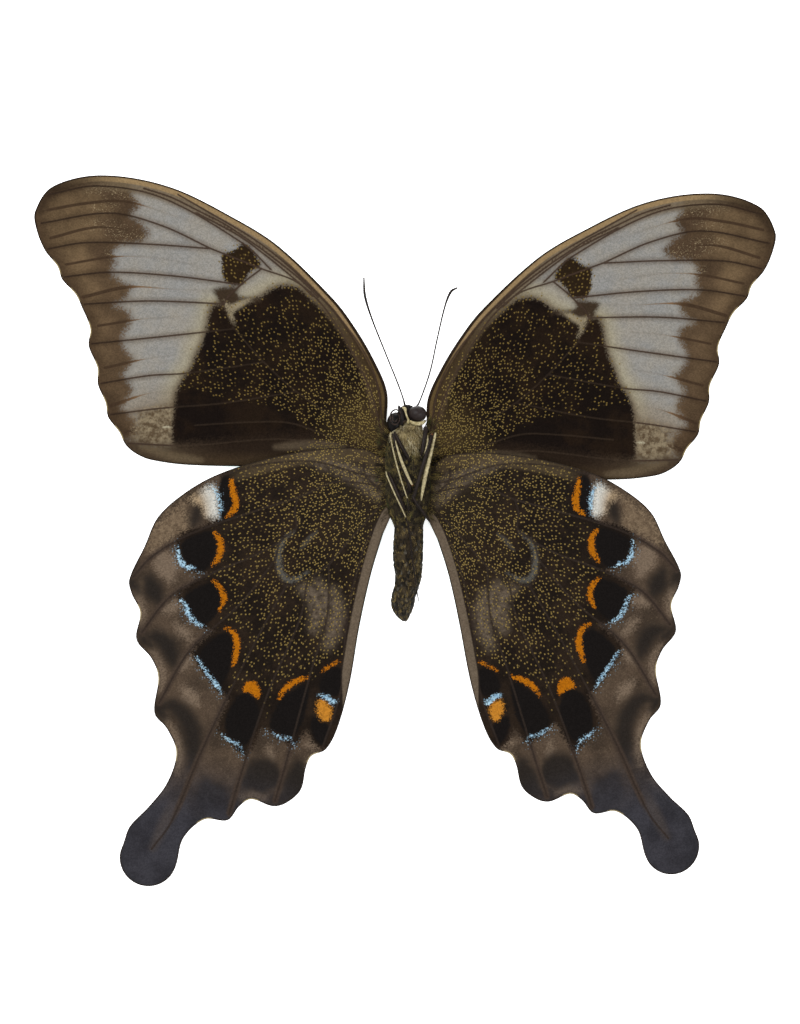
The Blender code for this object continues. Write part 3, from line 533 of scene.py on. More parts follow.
def fore_height(u, v):
    rest = np.maximum(0.0, 1.0 - u / FORE_REACH_TO_FLOOR)
    return SOLID_HALF + (FORE_HINGE_HEIGHT - SOLID_HALF) * rest**FORE_SAG


def hind_height(u, v):
    over = fore_height(u, v) + HIND_OVER_FORE
    down = blend(0.0, 1.0, (HIND_LEVEL_TO - v) / (HIND_LEVEL_TO - HIND_FLOOR_FROM))
    return SOLID_HALF + (over - SOLID_HALF) * (1.0 - down)


WING_HEIGHTS = {"fore": fore_height, "hind": hind_height}


def fitted(points, fit):
    """Points of the right wing's plan, moved to where this side's wing was set."""
    u, v = points[:, 0], points[:, 1]
    along = u * fit["span"] + v * fit["lean"]
    across = v * fit["chord"] + u * fit["lean"]
    turn = math.radians(fit["turn"])
    return np.column_stack((
        along * math.cos(turn) - across * math.sin(turn) + fit["shift"][0],
        along * math.sin(turn) + across * math.cos(turn) + fit["shift"][1],
    ))


def lobed_edge(lobes):
    points = []
    for (here, depth), (there, _) in zip(lobes, lobes[1:]):
        here = np.array(here)
        there = np.array(there)
        along = (there - here) / np.linalg.norm(there - here)
        inward = np.array((along[1], -along[0]))
        points.append(tuple(here))
        points.append(tuple(here + (there - here) * NOTCH_AT + inward * depth))
    points.append(lobes[-1][0])
    return points


def arc(centre, radius, degrees, count):
    turns = np.radians(np.linspace(degrees[0], degrees[1], count))
    return [(centre[0] + radius * math.cos(t), centre[1] + radius * math.sin(t)) for t in turns]


def wing_edges(kind):
    """The wing's free edge and its root edge, as points of the right wing's plan."""
    if kind == "fore":
        edge = FORE_FRONT + lobed_edge(FORE_LOBES) + FORE_REAR
        root = FORE_ROOT
    else:
        head = arc(TAIL_HEAD_CENTRE, TAIL_HEAD_RADIUS, TAIL_HEAD_ARC, TAIL_HEAD_POINTS)
        edge = HIND_FRONT + head + HIND_INNER
        root = HIND_ROOT
    return spline_through(edge, OUTLINE_STEP), np.array(root)


def wing_plan(kind):
    """Points and triangles of the wing's plan, with edges along its veins, and its outline."""
    edge, root = wing_edges(kind)
    outline = np.vstack((edge, root))
    table = FORE_VEINS if kind == "fore" else HIND_VEINS
    veins = [spline_through(line, VEIN_STEP) for line in table.values()]
    streaks = FORE_STREAKS if kind == "fore" else []
    lines = veins + [spline_through(line, VEIN_STEP) for line, _ in streaks]
    points = [tuple(point) for point in outline]
    count = len(points)
    edges = [(i, (i + 1) % count) for i in range(count)]
    flanks = []
    for line in lines:
        kept = [tuple(p) for p, ok in zip(line, inside(line, outline)) if ok]
        edges += [(len(points) + i, len(points) + i + 1) for i in range(len(kept) - 1)]
        points += kept
        along = np.gradient(line, axis=0)
        across = np.column_stack((-along[:, 1], along[:, 0]))
        across /= np.linalg.norm(across, axis=1)[:, None]
        flanks += [line + across * side * w for w in VEIN_FLANKS for side in (-1, 1)]
    flanks = np.vstack(flanks)
    low, high = outline.min(axis=0), outline.max(axis=0)
    rows = np.arange(low[1], high[1], WING_ROW_STEP)
    grid = [
        (u + (k % 2) * WING_STEP / 2, v)
        for k, v in enumerate(rows)
        for u in np.arange(low[0], high[0], WING_STEP)
    ]
    grid = np.array(grid)
    gaps = [nearest_on(grid, line)[0] for line in lines]
    grid = grid[np.min(gaps, axis=0) > OFF_LINES]
    fill = np.vstack((flanks, grid))
    fill = fill[inside(fill, outline)]
    closed = np.vstack((outline, outline[:1]))
    fill = fill[nearest_on(fill, closed)[0] > OFF_EDGE]
    points += [tuple(point) for point in fill]
    found = delaunay_2d_cdt([Vector(p) for p in points], edges, [], 1, 1e-6)
    return np.array([tuple(p) for p in found[0]]), np.array(found[2]), edge, veins


def fleck_fields(plan, base_point):
    """Distance from the wing's base, and a map whose unit squares hold one gold fleck each."""
    offset = plan - np.array(base_point)
    base = np.hypot(offset[:, 0], offset[:, 1])
    rows = offset * (np.maximum(base, 0.5) ** -FLECK_WIDENS / FLECK_GAP)[:, None]
    return {"base": base, "row_u": rows[:, 0], "row_v": rows[:, 1]}


def near_points(plan, points, radius):
    """1 at any of the points, fading over the radius."""
    gaps = np.linalg.norm(plan[:, None] - np.array(points)[None], axis=2).min(axis=1)
    return np.exp(-((gaps / radius) ** 2))


def fore_fields(plan):
    fields = {name: depth_in(plan, loop) for name, loop in FORE_ZONES.items()}
    fields.update({name: stroke_depth(plan, strokes) for name, strokes in FORE_STROKES.items()})
    fields["streak"] = stroke_depth(plan, FORE_STREAKS, thin_start=True)
    fields.update(fleck_fields(plan, FORE_BASE))
    thinned = np.clip(1.2 - fields["base"] / 42.0, 0.0, 1.0)
    thinned = np.maximum(thinned, 0.9 * blend(-0.4, 0.0, fields["discal"]))
    fields["flecks"] = thinned * (1.0 - 0.98 * blend(-0.6, 0.5, fields["bare"]))
    fields["front"] = nearest_on(plan, spline_through(FORE_FRONT, FIELD_STEP))[0]
    fields["notch"] = near_points(plan, lobed_edge(FORE_LOBES)[1::2], NOTCH_LIGHT)
    return fields


def hind_fields(plan):
    fields = {name: depth_in(plan, loop) for name, loop in HIND_ZONES.items()}
    fields.update({name: stroke_depth(plan, strokes) for name, strokes in HIND_STROKES.items()})
    fields["spot"] = np.max([depth_in(plan, loop) for loop in HIND_SPOTS], axis=0)
    fields["oval"] = depth_in(plan, HIND_ANAL_OVAL)
    patch = depth_in(plan, HIND_ORANGE_PATCH)
    fields["orange"] = np.maximum(stroke_depth(plan, HIND_ORANGE), patch)
    fields["blue"] = stroke_depth(plan, HIND_BLUE)
    fields["ring"] = stroke_depth(plan, [(HIND_RING, 0.5)])
    fields.update(fleck_fields(plan, HIND_BASE))
    marks = np.maximum(fields["outer"], np.maximum(fields["spot"], fields["orange"]))
    thinned = np.clip(1.2 - fields["base"] / 60.0, 0.0, 1.0)
    thinned *= 1.0 - blend(0.0, 1.0, (-18.0 - plan[:, 1]) / 2.0) * (plan[:, 0] < 13.5)
    fields["flecks"] = thinned * (1.0 - blend(-1.2, -0.1, marks))
    fields["front"] = nearest_on(plan, spline_through(HIND_FRONT[:7], FIELD_STEP))[0]
    inner = spline_through(HIND_INNER[9:] + HIND_ROOT[:1], FIELD_STEP)
    fields["inner"] = nearest_on(plan, inner)[0] + 1.7 * blend(0.0, 1.0, (-17.0 - plan[:, 1]) / 9.0)
    fields["tail"] = -plan[:, 1] - 30.0 + 0.25 * (plan[:, 0] - 28.0)
    fields["notch"] = near_points(plan, HIND_NOTCHES, NOTCH_LIGHT)
    return fields


def add_mesh(name, vertices, faces, materials):
    """An object of the model, riding on the root body."""
    mesh = bpy.data.meshes.new(name)
    mesh.from_pydata(np.asarray(vertices).tolist(), [], [list(map(int, face)) for face in faces])
    mesh.update()
    for material in materials:
        mesh.materials.append(material)
    mesh.shade_smooth()
    piece = bpy.data.objects.new(name, mesh)
    bpy.context.scene.collection.objects.link(piece)
    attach(piece, "root")
    return piece


def ring_faces(rings, sides):
    """The faces between rings of points that follow each other along a tube."""
    faces = []
    for i in range(rings - 1):
        for j in range(sides):
            k = (j + 1) % sides
            faces.append((i * sides + j, i * sides + k, (i + 1) * sides + k, (i + 1) * sides + j))
    return faces


def set_field(mesh, name, values):
    attribute = mesh.attributes.new(name, "FLOAT", "POINT")
    attribute.data.foreach_set("value", np.asarray(values, np.float32))


def set_colours(mesh, name, values):
    attribute = mesh.attributes.new(name, "FLOAT_COLOR", "POINT")
    full = np.ones((len(values), 4), np.float32)
    full[:, :3] = values
    attribute.data.foreach_set("color", full.ravel())


def to_world(points):
    """Points (x from the body's axis, v, height) in millimetres, as places in metres."""
    points = np.asarray(points, float)
    return (points + (BODY_X, 0.0, 0.0)) * MM


def ripple(u, v):
    """A slight unevenness of a dried wing."""
    return 0.5 * np.sin(0.31 * u + 0.23 * v) + 0.3 * np.sin(0.57 * v - 0.4 * u + 1.3)


def add_wing(kind, side_name, plan, triangles, fields, materials):
    """One wing's thin sheet, with its rim, as the plan set on its side and at its height."""
    side, fits = SIDES[side_name]
    moved = plan.copy()
    if kind == "hind":
        inward = 1.0 - blend(0.0, 4.0, fields["inner"])
        fold = INNER_FOLD[side_name] * blend(INNER_FOLD_FROM, 0.0, plan[:, 1])
        moved[:, 0] += fold * inward
    moved = fitted(moved, fits[kind])
    middle = WING_HEIGHTS[kind](moved[:, 0], moved[:, 1]) - SOLID_HALF
    uneven = RIPPLE_HEIGHT * np.clip(middle / RIPPLE_FULL_AT, 0.0, 1.0) * ripple(moved[:, 0], moved[:, 1])
    middle = middle + HALF_SHEET + FLOOR_CLEARANCE + uneven
    half = HALF_EDGE + (HALF_SHEET - HALF_EDGE) * blend(0.0, EDGE_TAPER, fields["edge"])
    ridge = VEIN_RIDGE * np.exp(-((fields["vein"] / VEIN_SPREAD) ** 2))
    top = np.column_stack((side * moved[:, 0], moved[:, 1], middle + half + ridge))
    bottom = np.column_stack((side * moved[:, 0], moved[:, 1], middle - half - LOWER_RIDGE_SHARE * ridge))
    bottom[:, 2] = np.maximum(bottom[:, 2], 0.0)
    count = len(plan)
    order = triangles if side > 0 else triangles[:, ::-1]
    pairs = np.vstack((order[:, [0, 1]], order[:, [1, 2]], order[:, [2, 0]]))
    known = {(int(a), int(b)) for a, b in pairs}
    rim = [(a, b) for a, b in known if (b, a) not in known]
    sides = [(b, a, a + count, b + count) for a, b in rim]
    faces = [*order.tolist(), *(order[:, ::-1] + count).tolist(), *sides]
    name = kind + "wing_" + side_name
    piece = add_mesh(name + "_skin", to_world(np.vstack((top, bottom))), faces, materials)
    slots = np.zeros(len(faces), np.int32)
    slots[len(order):2 * len(order)] = 1
    piece.data.polygons.foreach_set("material_index", slots)
    for key, values in fields.items():
        set_field(piece.data, key, np.concatenate((values, values)))
    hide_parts(name)


class Nodes:
    """Adds nodes to a new material by short calls. Values may be numbers, colours or sockets."""

    def __init__(self, name):
        self.material = bpy.data.materials.new(name)
        self.material.use_nodes = True
        self.tree = self.material.node_tree
        self.shader = self.tree.nodes["Principled BSDF"]
        place = self.add("ShaderNodeTexCoord").outputs["Object"]
        scaled = self.add("ShaderNodeVectorMath", operation="SCALE")
        self.feed(scaled.inputs[0], place)
        scaled.inputs["Scale"].default_value = 1.0 / MM
        self.place = scaled.outputs[0]

    def add(self, kind, **settings):
        node = self.tree.nodes.new(kind)
        for key, value in settings.items():
            setattr(node, key, value)
        return node

    def feed(self, socket, value):
        if isinstance(value, bpy.types.NodeSocket):
            self.tree.links.new(value, socket)
        else:
            socket.default_value = value

    def field(self, name):
        return self.add("ShaderNodeAttribute", attribute_name=name).outputs["Fac"]

    def colours(self, name):
        return self.add("ShaderNodeAttribute", attribute_name=name).outputs["Color"]

    def math(self, operation, a, b=0.0, c=0.0):
        node = self.add("ShaderNodeMath", operation=operation)
        for socket, value in zip(node.inputs, (a, b, c)):
            self.feed(socket, value)
        return node.outputs[0]

    def mix(self, share, a, b):
        node = self.add("ShaderNodeMix", data_type="RGBA")
        self.feed(node.inputs[0], share)
        self.feed(node.inputs[6], a)
        self.feed(node.inputs[7], b)
        return node.outputs[2]

    def times(self, colour, factor):
        """A colour made brighter or darker by a number."""
        node = self.add("ShaderNodeVectorMath", operation="SCALE")
        self.feed(node.inputs[0], colour)
        self.feed(node.inputs["Scale"], factor)
        return node.outputs[0]

    def step(self, value, low, high, out_low=0.0, out_high=1.0):
        node = self.add("ShaderNodeMapRange", interpolation_type="SMOOTHSTEP")
        for socket, number in zip(node.inputs, (value, low, high, out_low, out_high)):
            self.feed(socket, number)
        return node.outputs[0]

    def noise(self, scale, detail=3.0, rough=0.6):
        node = self.add("ShaderNodeTexNoise")
        self.feed(node.inputs["Vector"], self.place)
        node.inputs["Scale"].default_value = scale
        node.inputs["Detail"].default_value = detail
        node.inputs["Roughness"].default_value = rough
        return node.outputs["Fac"]

    def pair(self, across, along):
        """A place made of two numbers."""
        node = self.add("ShaderNodeCombineXYZ")
        self.feed(node.inputs[0], across)
        self.feed(node.inputs[1], along)
        return node.outputs[0]

    def cells(self, scale, randomness=1.0, place=None):
        """Distance to the nearest of scattered points, and a number of that point's own."""
        node = self.add("ShaderNodeTexVoronoi", voronoi_dimensions="2D")
        self.feed(node.inputs["Vector"], self.place if place is None else place)
        node.inputs["Scale"].default_value = scale
        node.inputs["Randomness"].default_value = randomness
        split = self.add("ShaderNodeSeparateColor")
        self.feed(split.inputs[0], node.outputs["Color"])
        return node.outputs["Distance"], split.outputs[0]

    def zone(self, field, ragged=0.15, soft=0.08, at=0.0):
        """How far a point is inside a zone, from 0 to 1, with the zone's edge frayed into scales."""
        frayed = self.math("MULTIPLY_ADD", self.fray, ragged, field)
        return self.step(frayed, at - soft, at + soft)

    def finish(self, colour, roughness, height, bump=0.4, distance=0.00003, specular=0.12):
        self.feed(self.shader.inputs["Base Color"], colour)
        self.feed(self.shader.inputs["Roughness"], roughness)
        self.shader.inputs["Specular IOR Level"].default_value = specular
        if height is not None:
            node = self.add("ShaderNodeBump")
            node.inputs["Strength"].default_value = bump
            node.inputs["Distance"].default_value = distance
            self.feed(node.inputs["Height"], height)
            self.feed(self.shader.inputs["Normal"], node.outputs[0])
        return self.material


def scale_grain(nodes):
    """The wing's scales: a grain for frayed edges and a relief. Adds them to the nodes."""
    gap, own = nodes.cells(7.0)
    nodes.grain = own
    waves = nodes.noise(1.3, 3.0)
    both = nodes.math("ADD", own, waves)
    nodes.fray = nodes.math("SUBTRACT", both, 1.0)
    nodes.relief = nodes.math("SUBTRACT", own, gap)


def gold_flecks(nodes, colour, density, far=(106, 88, 46), near=(126, 108, 60)):
    """Small soft gold specks in loose rows, close together where density is high."""
    gold = nodes.mix(nodes.step(nodes.field("base"), 3.0, 22.0), seen(*near), seen(*far))
    across, along = nodes.field("row_u"), nodes.field("row_v")
    patchy = nodes.math("MULTIPLY", density, nodes.step(nodes.noise(0.35, 2.0), 0.3, 0.55, 0.5, 1.0))
    crowded = nodes.step(nodes.field("base"), 16.0, 3.0, 0.3, 0.9)
    for shift, share in ((0.0, 0.95), (31.4, crowded)):
        place = nodes.pair(nodes.math("ADD", across, shift), nodes.math("ADD", along, shift / 2))
        gap, own = nodes.cells(1.0, 0.8, place)
        wanted = nodes.math("MULTIPLY", patchy, share)
        there = nodes.step(nodes.math("SUBTRACT", wanted, own), 0.0, 0.2)
        dot = nodes.step(gap, 0.3, 0.1)
        colour = nodes.mix(nodes.math("MULTIPLY", dot, there), colour, gold)
    return colour


def forewing_underside():
    n = Nodes("forewing_underside")
    scale_grain(n)
    broad = n.noise(0.22, 4.0)
    fine = n.noise(2.2, 4.0)
    edge, vein, base = n.field("edge"), n.field("vein"), n.field("base")
    front = n.field("front")
    margin, basal, line = n.field("margin"), n.field("basal"), n.field("line")

    # Painted shadow: a soft brown shade either side of the veins and streaks, laid on the pale field and on
    # the margin below
    vein_shadow = n.step(line, 0.8, 0.05)
    beside = n.mix(n.step(base, 12.0, 30.0), seen(58, 46, 30), seen(102, 88, 68))
    pale = n.mix(n.step(broad, 0.3, 0.7), seen(138, 133, 124), seen(131, 130, 127))
    pale = n.mix(n.step(n.noise(2.6, 3.0), 0.58, 0.72, 0.0, 0.35), pale, seen(104, 106, 110))
    pale = n.mix(n.math("MULTIPLY", vein_shadow, 0.5), pale, seen(82, 68, 54))
    colour = n.mix(n.step(basal, -3.2, -0.4, 0.0, 0.7), pale, seen(148, 139, 113))
    colour = n.mix(n.step(n.field("mottle"), -4.0, 0.0, 0.0, 0.6), colour, seen(116, 103, 86))
    colour = n.mix(n.step(base, 26.0, 17.0), colour, beside)
    colour = n.mix(n.step(basal, -1.1, 0.0, 0.0, 0.7), colour, seen(78, 64, 48))

    brown = n.mix(n.step(margin, 1.0, 4.5), seen(80, 64, 47), seen(104, 85, 62))
    brown = n.times(brown, n.step(base, 42.0, 52.0, 1.0, 0.72))
    brown = n.mix(n.step(n.field("dusk"), -1.0, 0.6, 0.0, 0.6), brown, seen(62, 48, 36))
    # Painted shadow beside the veins and streaks in the brown margin
    brown = n.mix(n.math("MULTIPLY", vein_shadow, 0.5), brown, seen(64, 50, 36))
    brown = n.mix(n.step(edge, 2.6, 0.3, 0.0, 0.85), brown, seen(63, 49, 35))
    brown = n.mix(n.step(n.field("apex"), -0.8, 0.4, 0.0, 0.8), brown, seen(46, 35, 25))
    brown = n.times(brown, n.step(n.noise(0.5, 4.0), 0.3, 0.7, 0.87, 1.14))
    dusted = n.step(n.field("dust"), -0.6, 0.6)
    specks = n.math("MULTIPLY", dusted, n.step(n.noise(6.0, 2.0), 0.55, 0.7, 0.0, 0.7))
    brown = n.mix(specks, brown, seen(150, 134, 104))
    colour = n.mix(n.zone(margin, 0.7, 0.6), colour, brown)

    thin = n.math("SUBTRACT", n.field("streak"), n.step(margin, 0.5, -1.5, 0.02, 0.13))
    streak = n.step(n.math("MULTIPLY_ADD", n.fray, 0.06, thin), -0.07, 0.06)
    tinted = n.mix(n.step(margin, 1.0, -1.5), seen(58, 44, 32), seen(106, 77, 47))
    colour = n.mix(n.math("MULTIPLY", streak, n.step(margin, -9.0, 0.0, 0.5, 0.9)), colour, tinted)

    mottle = n.mix(n.step(n.noise(1.6, 4.0), 0.35, 0.65), seen(80, 66, 49), seen(126, 113, 91))
    colour = n.mix(n.zone(n.field("mottle"), 0.8, 0.8), colour, mottle)
    colour = n.mix(n.zone(n.field("white"), 0.1, 0.1), colour, seen(152, 144, 122))
    rear = n.mix(n.step(edge, 2.4, 0.4), seen(35, 26, 19), seen(55, 43, 30))
    rear = n.mix(n.step(base, 20.0, 30.0, 0.0, 0.7), rear, seen(68, 56, 43))
    rear = n.mix(n.step(n.field("rear_pale"), -0.5, 0.3, 0.0, 0.7), rear, seen(84, 72, 57))
    rear = n.mix(n.step(n.field("rear_tan"), -0.5, 0.3, 0.0, 0.8), rear, seen(88, 75, 57))
    black = n.mix(n.step(broad, 0.42, 0.62), seen(20, 14, 11), seen(30, 21, 14))
    black = n.mix(n.step(base, 11.0, 2.0), black, seen(62, 50, 30))
    colour = n.mix(n.zone(basal, 0.5, 0.3), colour, black)
    colour = n.mix(n.step(n.math("MULTIPLY_ADD", n.fray, 0.5, n.field("rear")), -0.9, 0.9), colour, rear)
    colour = n.mix(n.zone(n.field("discal"), 0.4, 0.2), colour, seen(37, 27, 16))
    colour = n.mix(n.zone(n.field("wedge"), 0.3, 0.4), colour, seen(53, 42, 31))
    colour = n.mix(n.math("MULTIPLY", n.zone(n.field("bar"), 0.3, 0.3), 0.75), colour, seen(140, 128, 104))

    kept = n.step(margin, 8.0, 0.0)
    colour = n.mix(n.math("MULTIPLY", n.step(front, 2.4, 1.4, 0.0, 0.85), kept), colour, beside)
    shade = n.math("MULTIPLY", n.step(front, 1.2, 1.0, 0.0, 0.8), n.step(base, 32.0, 26.0))
    colour = n.mix(shade, colour, seen(52, 40, 28))
    tan = n.mix(n.step(base, 11.0, 17.0), seen(84, 68, 42), seen(134, 112, 80))
    colour = n.mix(n.math("MULTIPLY", n.step(front, 0.9, 0.7), kept), colour, tan)

    over = n.math("MAXIMUM", n.step(basal, -1.6, 0.0), n.step(n.field("discal"), -1.0, 0.0))
    over = n.math("MULTIPLY", n.math("MAXIMUM", over, n.step(base, 18.0, 12.0)), n.step(front, 0.9, 1.3))
    colour = gold_flecks(n, colour, n.math("MULTIPLY", n.field("flecks"), over))

    outside = n.step(basal, 0.4, -0.4)
    outer_vein = n.mix(n.step(margin, -0.5, 0.5), seen(58, 45, 36), seen(45, 34, 26))
    vein_colour = n.mix(outside, seen(58, 47, 37), outer_vein)
    core = n.math("MULTIPLY", n.step(vein, 0.17, 0.05), n.math("MULTIPLY_ADD", outside, 0.56, 0.36))
    colour = n.mix(core, colour, vein_colour)
    rim = n.math("SUBTRACT", front, n.step(base, 15.0, 35.0, 0.4, 0.2))
    colour = n.mix(n.step(rim, 0.08, -0.08), colour, seen(38, 29, 21))
    fringe = n.mix(n.step(n.field("notch"), 0.35, 0.7), seen(44, 34, 26), seen(168, 152, 112))
    colour = n.mix(n.step(edge, 0.22, 0.06), colour, fringe)
    colour = n.times(colour, n.step(n.grain, 0.0, 1.0, 0.86, 1.13))
    return n.finish(colour, n.step(fine, 0.2, 0.8, 0.62, 0.78), n.relief, specular=WING_GLOSS)


def hindwing_underside():
    n = Nodes("hindwing_underside")
    scale_grain(n)
    broad = n.noise(0.25, 4.0)
    fine = n.noise(2.0, 4.0)
    edge, vein, base = n.field("edge"), n.field("vein"), n.field("base")
    outer = n.field("outer")

    colour = n.mix(n.step(broad, 0.4, 0.62), seen(27, 21, 17), seen(39, 30, 23))
    colour = n.mix(n.step(base, 12.0, 2.5), colour, seen(38, 31, 23))
    # Pale lines; near the root they are tan streaks that also carry a painted sheen
    pale = n.step(n.field("pale"), -1.3, 0.9, 0.0, 0.8)
    pale = n.math("MULTIPLY", pale, n.step(fine, 0.25, 0.7, 0.3, 1.0))
    colour = n.mix(pale, colour, seen(110, 97, 82))
    ring = n.step(n.math("MULTIPLY_ADD", n.fray, 0.3, n.field("ring")), -0.2, 0.4, 0.0, 0.5)
    colour = n.mix(ring, colour, seen(98, 97, 91))
    colour = n.mix(n.step(n.field("crease"), -0.2, 0.2, 0.0, 0.35), colour, seen(90, 88, 82))
    strip = n.math("MULTIPLY", n.step(n.field("front"), 2.1, 1.3, 0.0, 0.7), n.step(base, 22.0, 17.0))
    colour = n.mix(strip, colour, seen(76, 64, 47))
    density = n.math("MULTIPLY", n.field("flecks"), n.step(base, 2.0, 14.0, 0.6, 1.0))
    colour = gold_flecks(n, colour, density, (124, 105, 58), (138, 118, 66))

    ground = n.mix(n.step(broad, 0.35, 0.65), seen(76, 63, 51), seen(58, 48, 39))
    ground = n.mix(n.step(n.noise(4.0, 2.0), 0.56, 0.7, 0.0, 0.3), ground, seen(110, 94, 76))
    light = n.step(n.math("MULTIPLY_ADD", n.fray, 0.5, n.field("light")), -0.7, 0.8, 0.0, 0.95)
    ground = n.mix(light, ground, seen(108, 93, 78))
    tan = n.mix(n.step(fine, 0.3, 0.7), seen(116, 99, 79), seen(90, 75, 59))
    ground = n.mix(n.zone(n.field("tan"), 1.0, 0.8), ground, tan)
    smudge = n.step(n.math("MULTIPLY_ADD", n.fray, 0.5, n.field("smudge")), -1.0, 0.7, 0.0, 0.94)
    ground = n.mix(smudge, ground, seen(35, 31, 28))
    tail = n.field("tail")
    blue_black = n.mix(n.step(broad, 0.35, 0.65), seen(54, 53, 58), seen(43, 42, 46))
    ground = n.mix(n.step(tail, -3.0, 7.5), ground, blue_black)
    shaft = n.math("MULTIPLY", n.step(n.field("shaft"), -0.8, 0.3, 0.0, 0.5), n.step(tail, 3.0, 8.0))
    ground = n.mix(shaft, ground, seen(74, 66, 61))
    band = n.math("MULTIPLY", n.step(vein, 0.62, 0.2, 0.0, 0.8), n.step(tail, 9.0, 5.0))
    ground = n.mix(band, ground, seen(62, 51, 43))
    colour = n.mix(n.zone(outer, 0.5, 0.4), colour, ground)
    cream = n.mix(n.step(n.field("blue"), -2.4, -0.3), seen(150, 130, 104), seen(190, 188, 180))
    colour = n.mix(n.zone(n.field("cream"), 0.5, 0.6, 0.1), colour, cream)

    colour = n.mix(n.zone(n.field("spot"), 0.3, 0.22), colour, seen(21, 18, 17))
    orange = n.mix(fine, seen(150, 84, 8), seen(172, 104, 14))
    colour = n.mix(n.zone(n.field("orange"), 0.35, 0.13), colour, orange)
    colour = n.mix(n.zone(n.field("oval"), 0.5, 0.35, 0.1), colour, seen(176, 116, 38))
    blue = n.mix(n.step(n.noise(3.0, 2.0), 0.35, 0.65), seen(118, 152, 176), seen(164, 196, 212))
    colour = n.mix(n.zone(n.field("blue"), 0.4, 0.18, 0.1), colour, blue)
    gap, own = n.cells(3.2, 0.9)
    strewn = n.math("MULTIPLY", n.step(gap, 0.3, 0.16), n.math("GREATER_THAN", own, 0.62))
    strewn = n.math("MULTIPLY", strewn, n.step(n.field("blue"), -1.1, -0.3, 0.0, 0.8))
    colour = n.mix(n.math("MULTIPLY", strewn, n.step(outer, -0.5, 0.2)), colour, seen(120, 142, 156))

    colour = n.mix(n.step(vein, 0.2, 0.06, 0.0, 0.8), colour, seen(45, 37, 32))
    inner = n.field("inner")
    colour = n.mix(n.step(inner, 1.55, 1.35, 0.0, 0.8), colour, seen(38, 31, 26))
    brim = n.mix(fine, seen(84, 72, 58), seen(112, 99, 84))
    colour = n.mix(n.step(inner, 1.35, 1.15, 0.0, 0.9), colour, brim)
    fringe = n.mix(n.step(n.field("notch"), 0.35, 0.7), seen(46, 38, 32), seen(172, 156, 118))
    colour = n.mix(n.step(edge, 0.22, 0.06), colour, fringe)
    colour = n.times(colour, n.step(n.grain, 0.0, 1.0, 0.85, 1.14))
    return n.finish(colour, n.step(fine, 0.2, 0.8, 0.62, 0.78), n.relief, specular=WING_GLOSS)


def wing_upperside(kind):
    """The face on the floor: black dusted with green, and a broad blue-green band."""
    n = Nodes(kind + "wing_upperside")
    scale_grain(n)
    fine = n.noise(2.0, 4.0)
    edge, vein, base = n.field("edge"), n.field("vein"), n.field("base")
    colour = n.mix(n.step(fine, 0.35, 0.7), seen(14, 15, 14), seen(30, 30, 24))
    dust = n.math("MULTIPLY", n.step(n.noise(6.0, 2.0), 0.5, 0.7), n.step(base, 30.0, 6.0))
    colour = n.mix(dust, colour, seen(60, 110, 60))
    if kind == "fore":
        band = n.math("MINIMUM", n.math("SUBTRACT", base, 15.0), n.math("MULTIPLY", n.field("margin"), -1.0))
    else:
        band = n.math("MINIMUM", n.math("SUBTRACT", base, 5.0), n.math("MULTIPLY", n.field("outer"), -1.0))
        band = n.math("MINIMUM", band, n.math("SUBTRACT", 22.0, base))
    green = n.mix(n.step(fine, 0.3, 0.7), seen(84, 170, 158), seen(118, 196, 176))
    colour = n.mix(n.zone(band, 0.6, 0.5), colour, green)
    colour = n.mix(n.math("MULTIPLY", n.step(vein, 0.2, 0.1), 0.8), colour, seen(18, 20, 18))
    colour = n.mix(n.step(edge, 0.3, 0.15), colour, seen(16, 15, 14))
    colour = n.times(colour, n.step(n.grain, 0.0, 1.0, 0.85, 1.1))
    return n.finish(colour, n.step(fine, 0.2, 0.8, 0.5, 0.7), n.relief)


def grooves(v, width, first):
    """1 in the grooves between the abdomen's segments, from the first one on, and 0 elsewhere."""
    along = (ABDOMEN_FROM - v) / (ABDOMEN_FROM - ABDOMEN_TO) * ABDOMEN_SEGMENTS
    return np.exp(-(((along + 0.5) % 1.0 - 0.5) / width) ** 2) * ((along > first) & (along < LAST_GROOVE))


def skin_rows():
    """The body's rows, closely spaced from the abdomen's tip to the face."""
    rows = spline_through(SKIN_ROWS, SKIN_STEP)
    rows[:, 1:3] = np.maximum(rows[:, 1:3], LEAST_GIRTH)
    rows[:, 1:3] *= (1.0 - SEGMENT_GROOVE * grooves(rows[:, 0], 0.09, -0.1))[:, None]
    return rows[np.argsort(rows[:, 0])]


ROWS = skin_rows()


def skin_point(v, turn):
    """Where the skin is at v and at this turn round the body, 0 at +X and a quarter turn up."""
    width, height, middle, bend = (np.interp(v, ROWS[:, 0], ROWS[:, k]) for k in (1, 2, 3, 4))
    x = bend + width * np.cos(turn)
    z = middle + height * np.sin(turn)
    return np.column_stack((x, v, np.maximum(z, LEAST_HEIGHT)))


def skin_normal(v, turn):
    small = 0.02
    ahead = skin_point(v + small, turn) - skin_point(v - small, turn)
    round_it = skin_point(v, turn + small) - skin_point(v, turn - small)
    normal = np.cross(round_it, ahead)
    return normal / np.maximum(np.linalg.norm(normal, axis=1), 1e-9)[:, None]


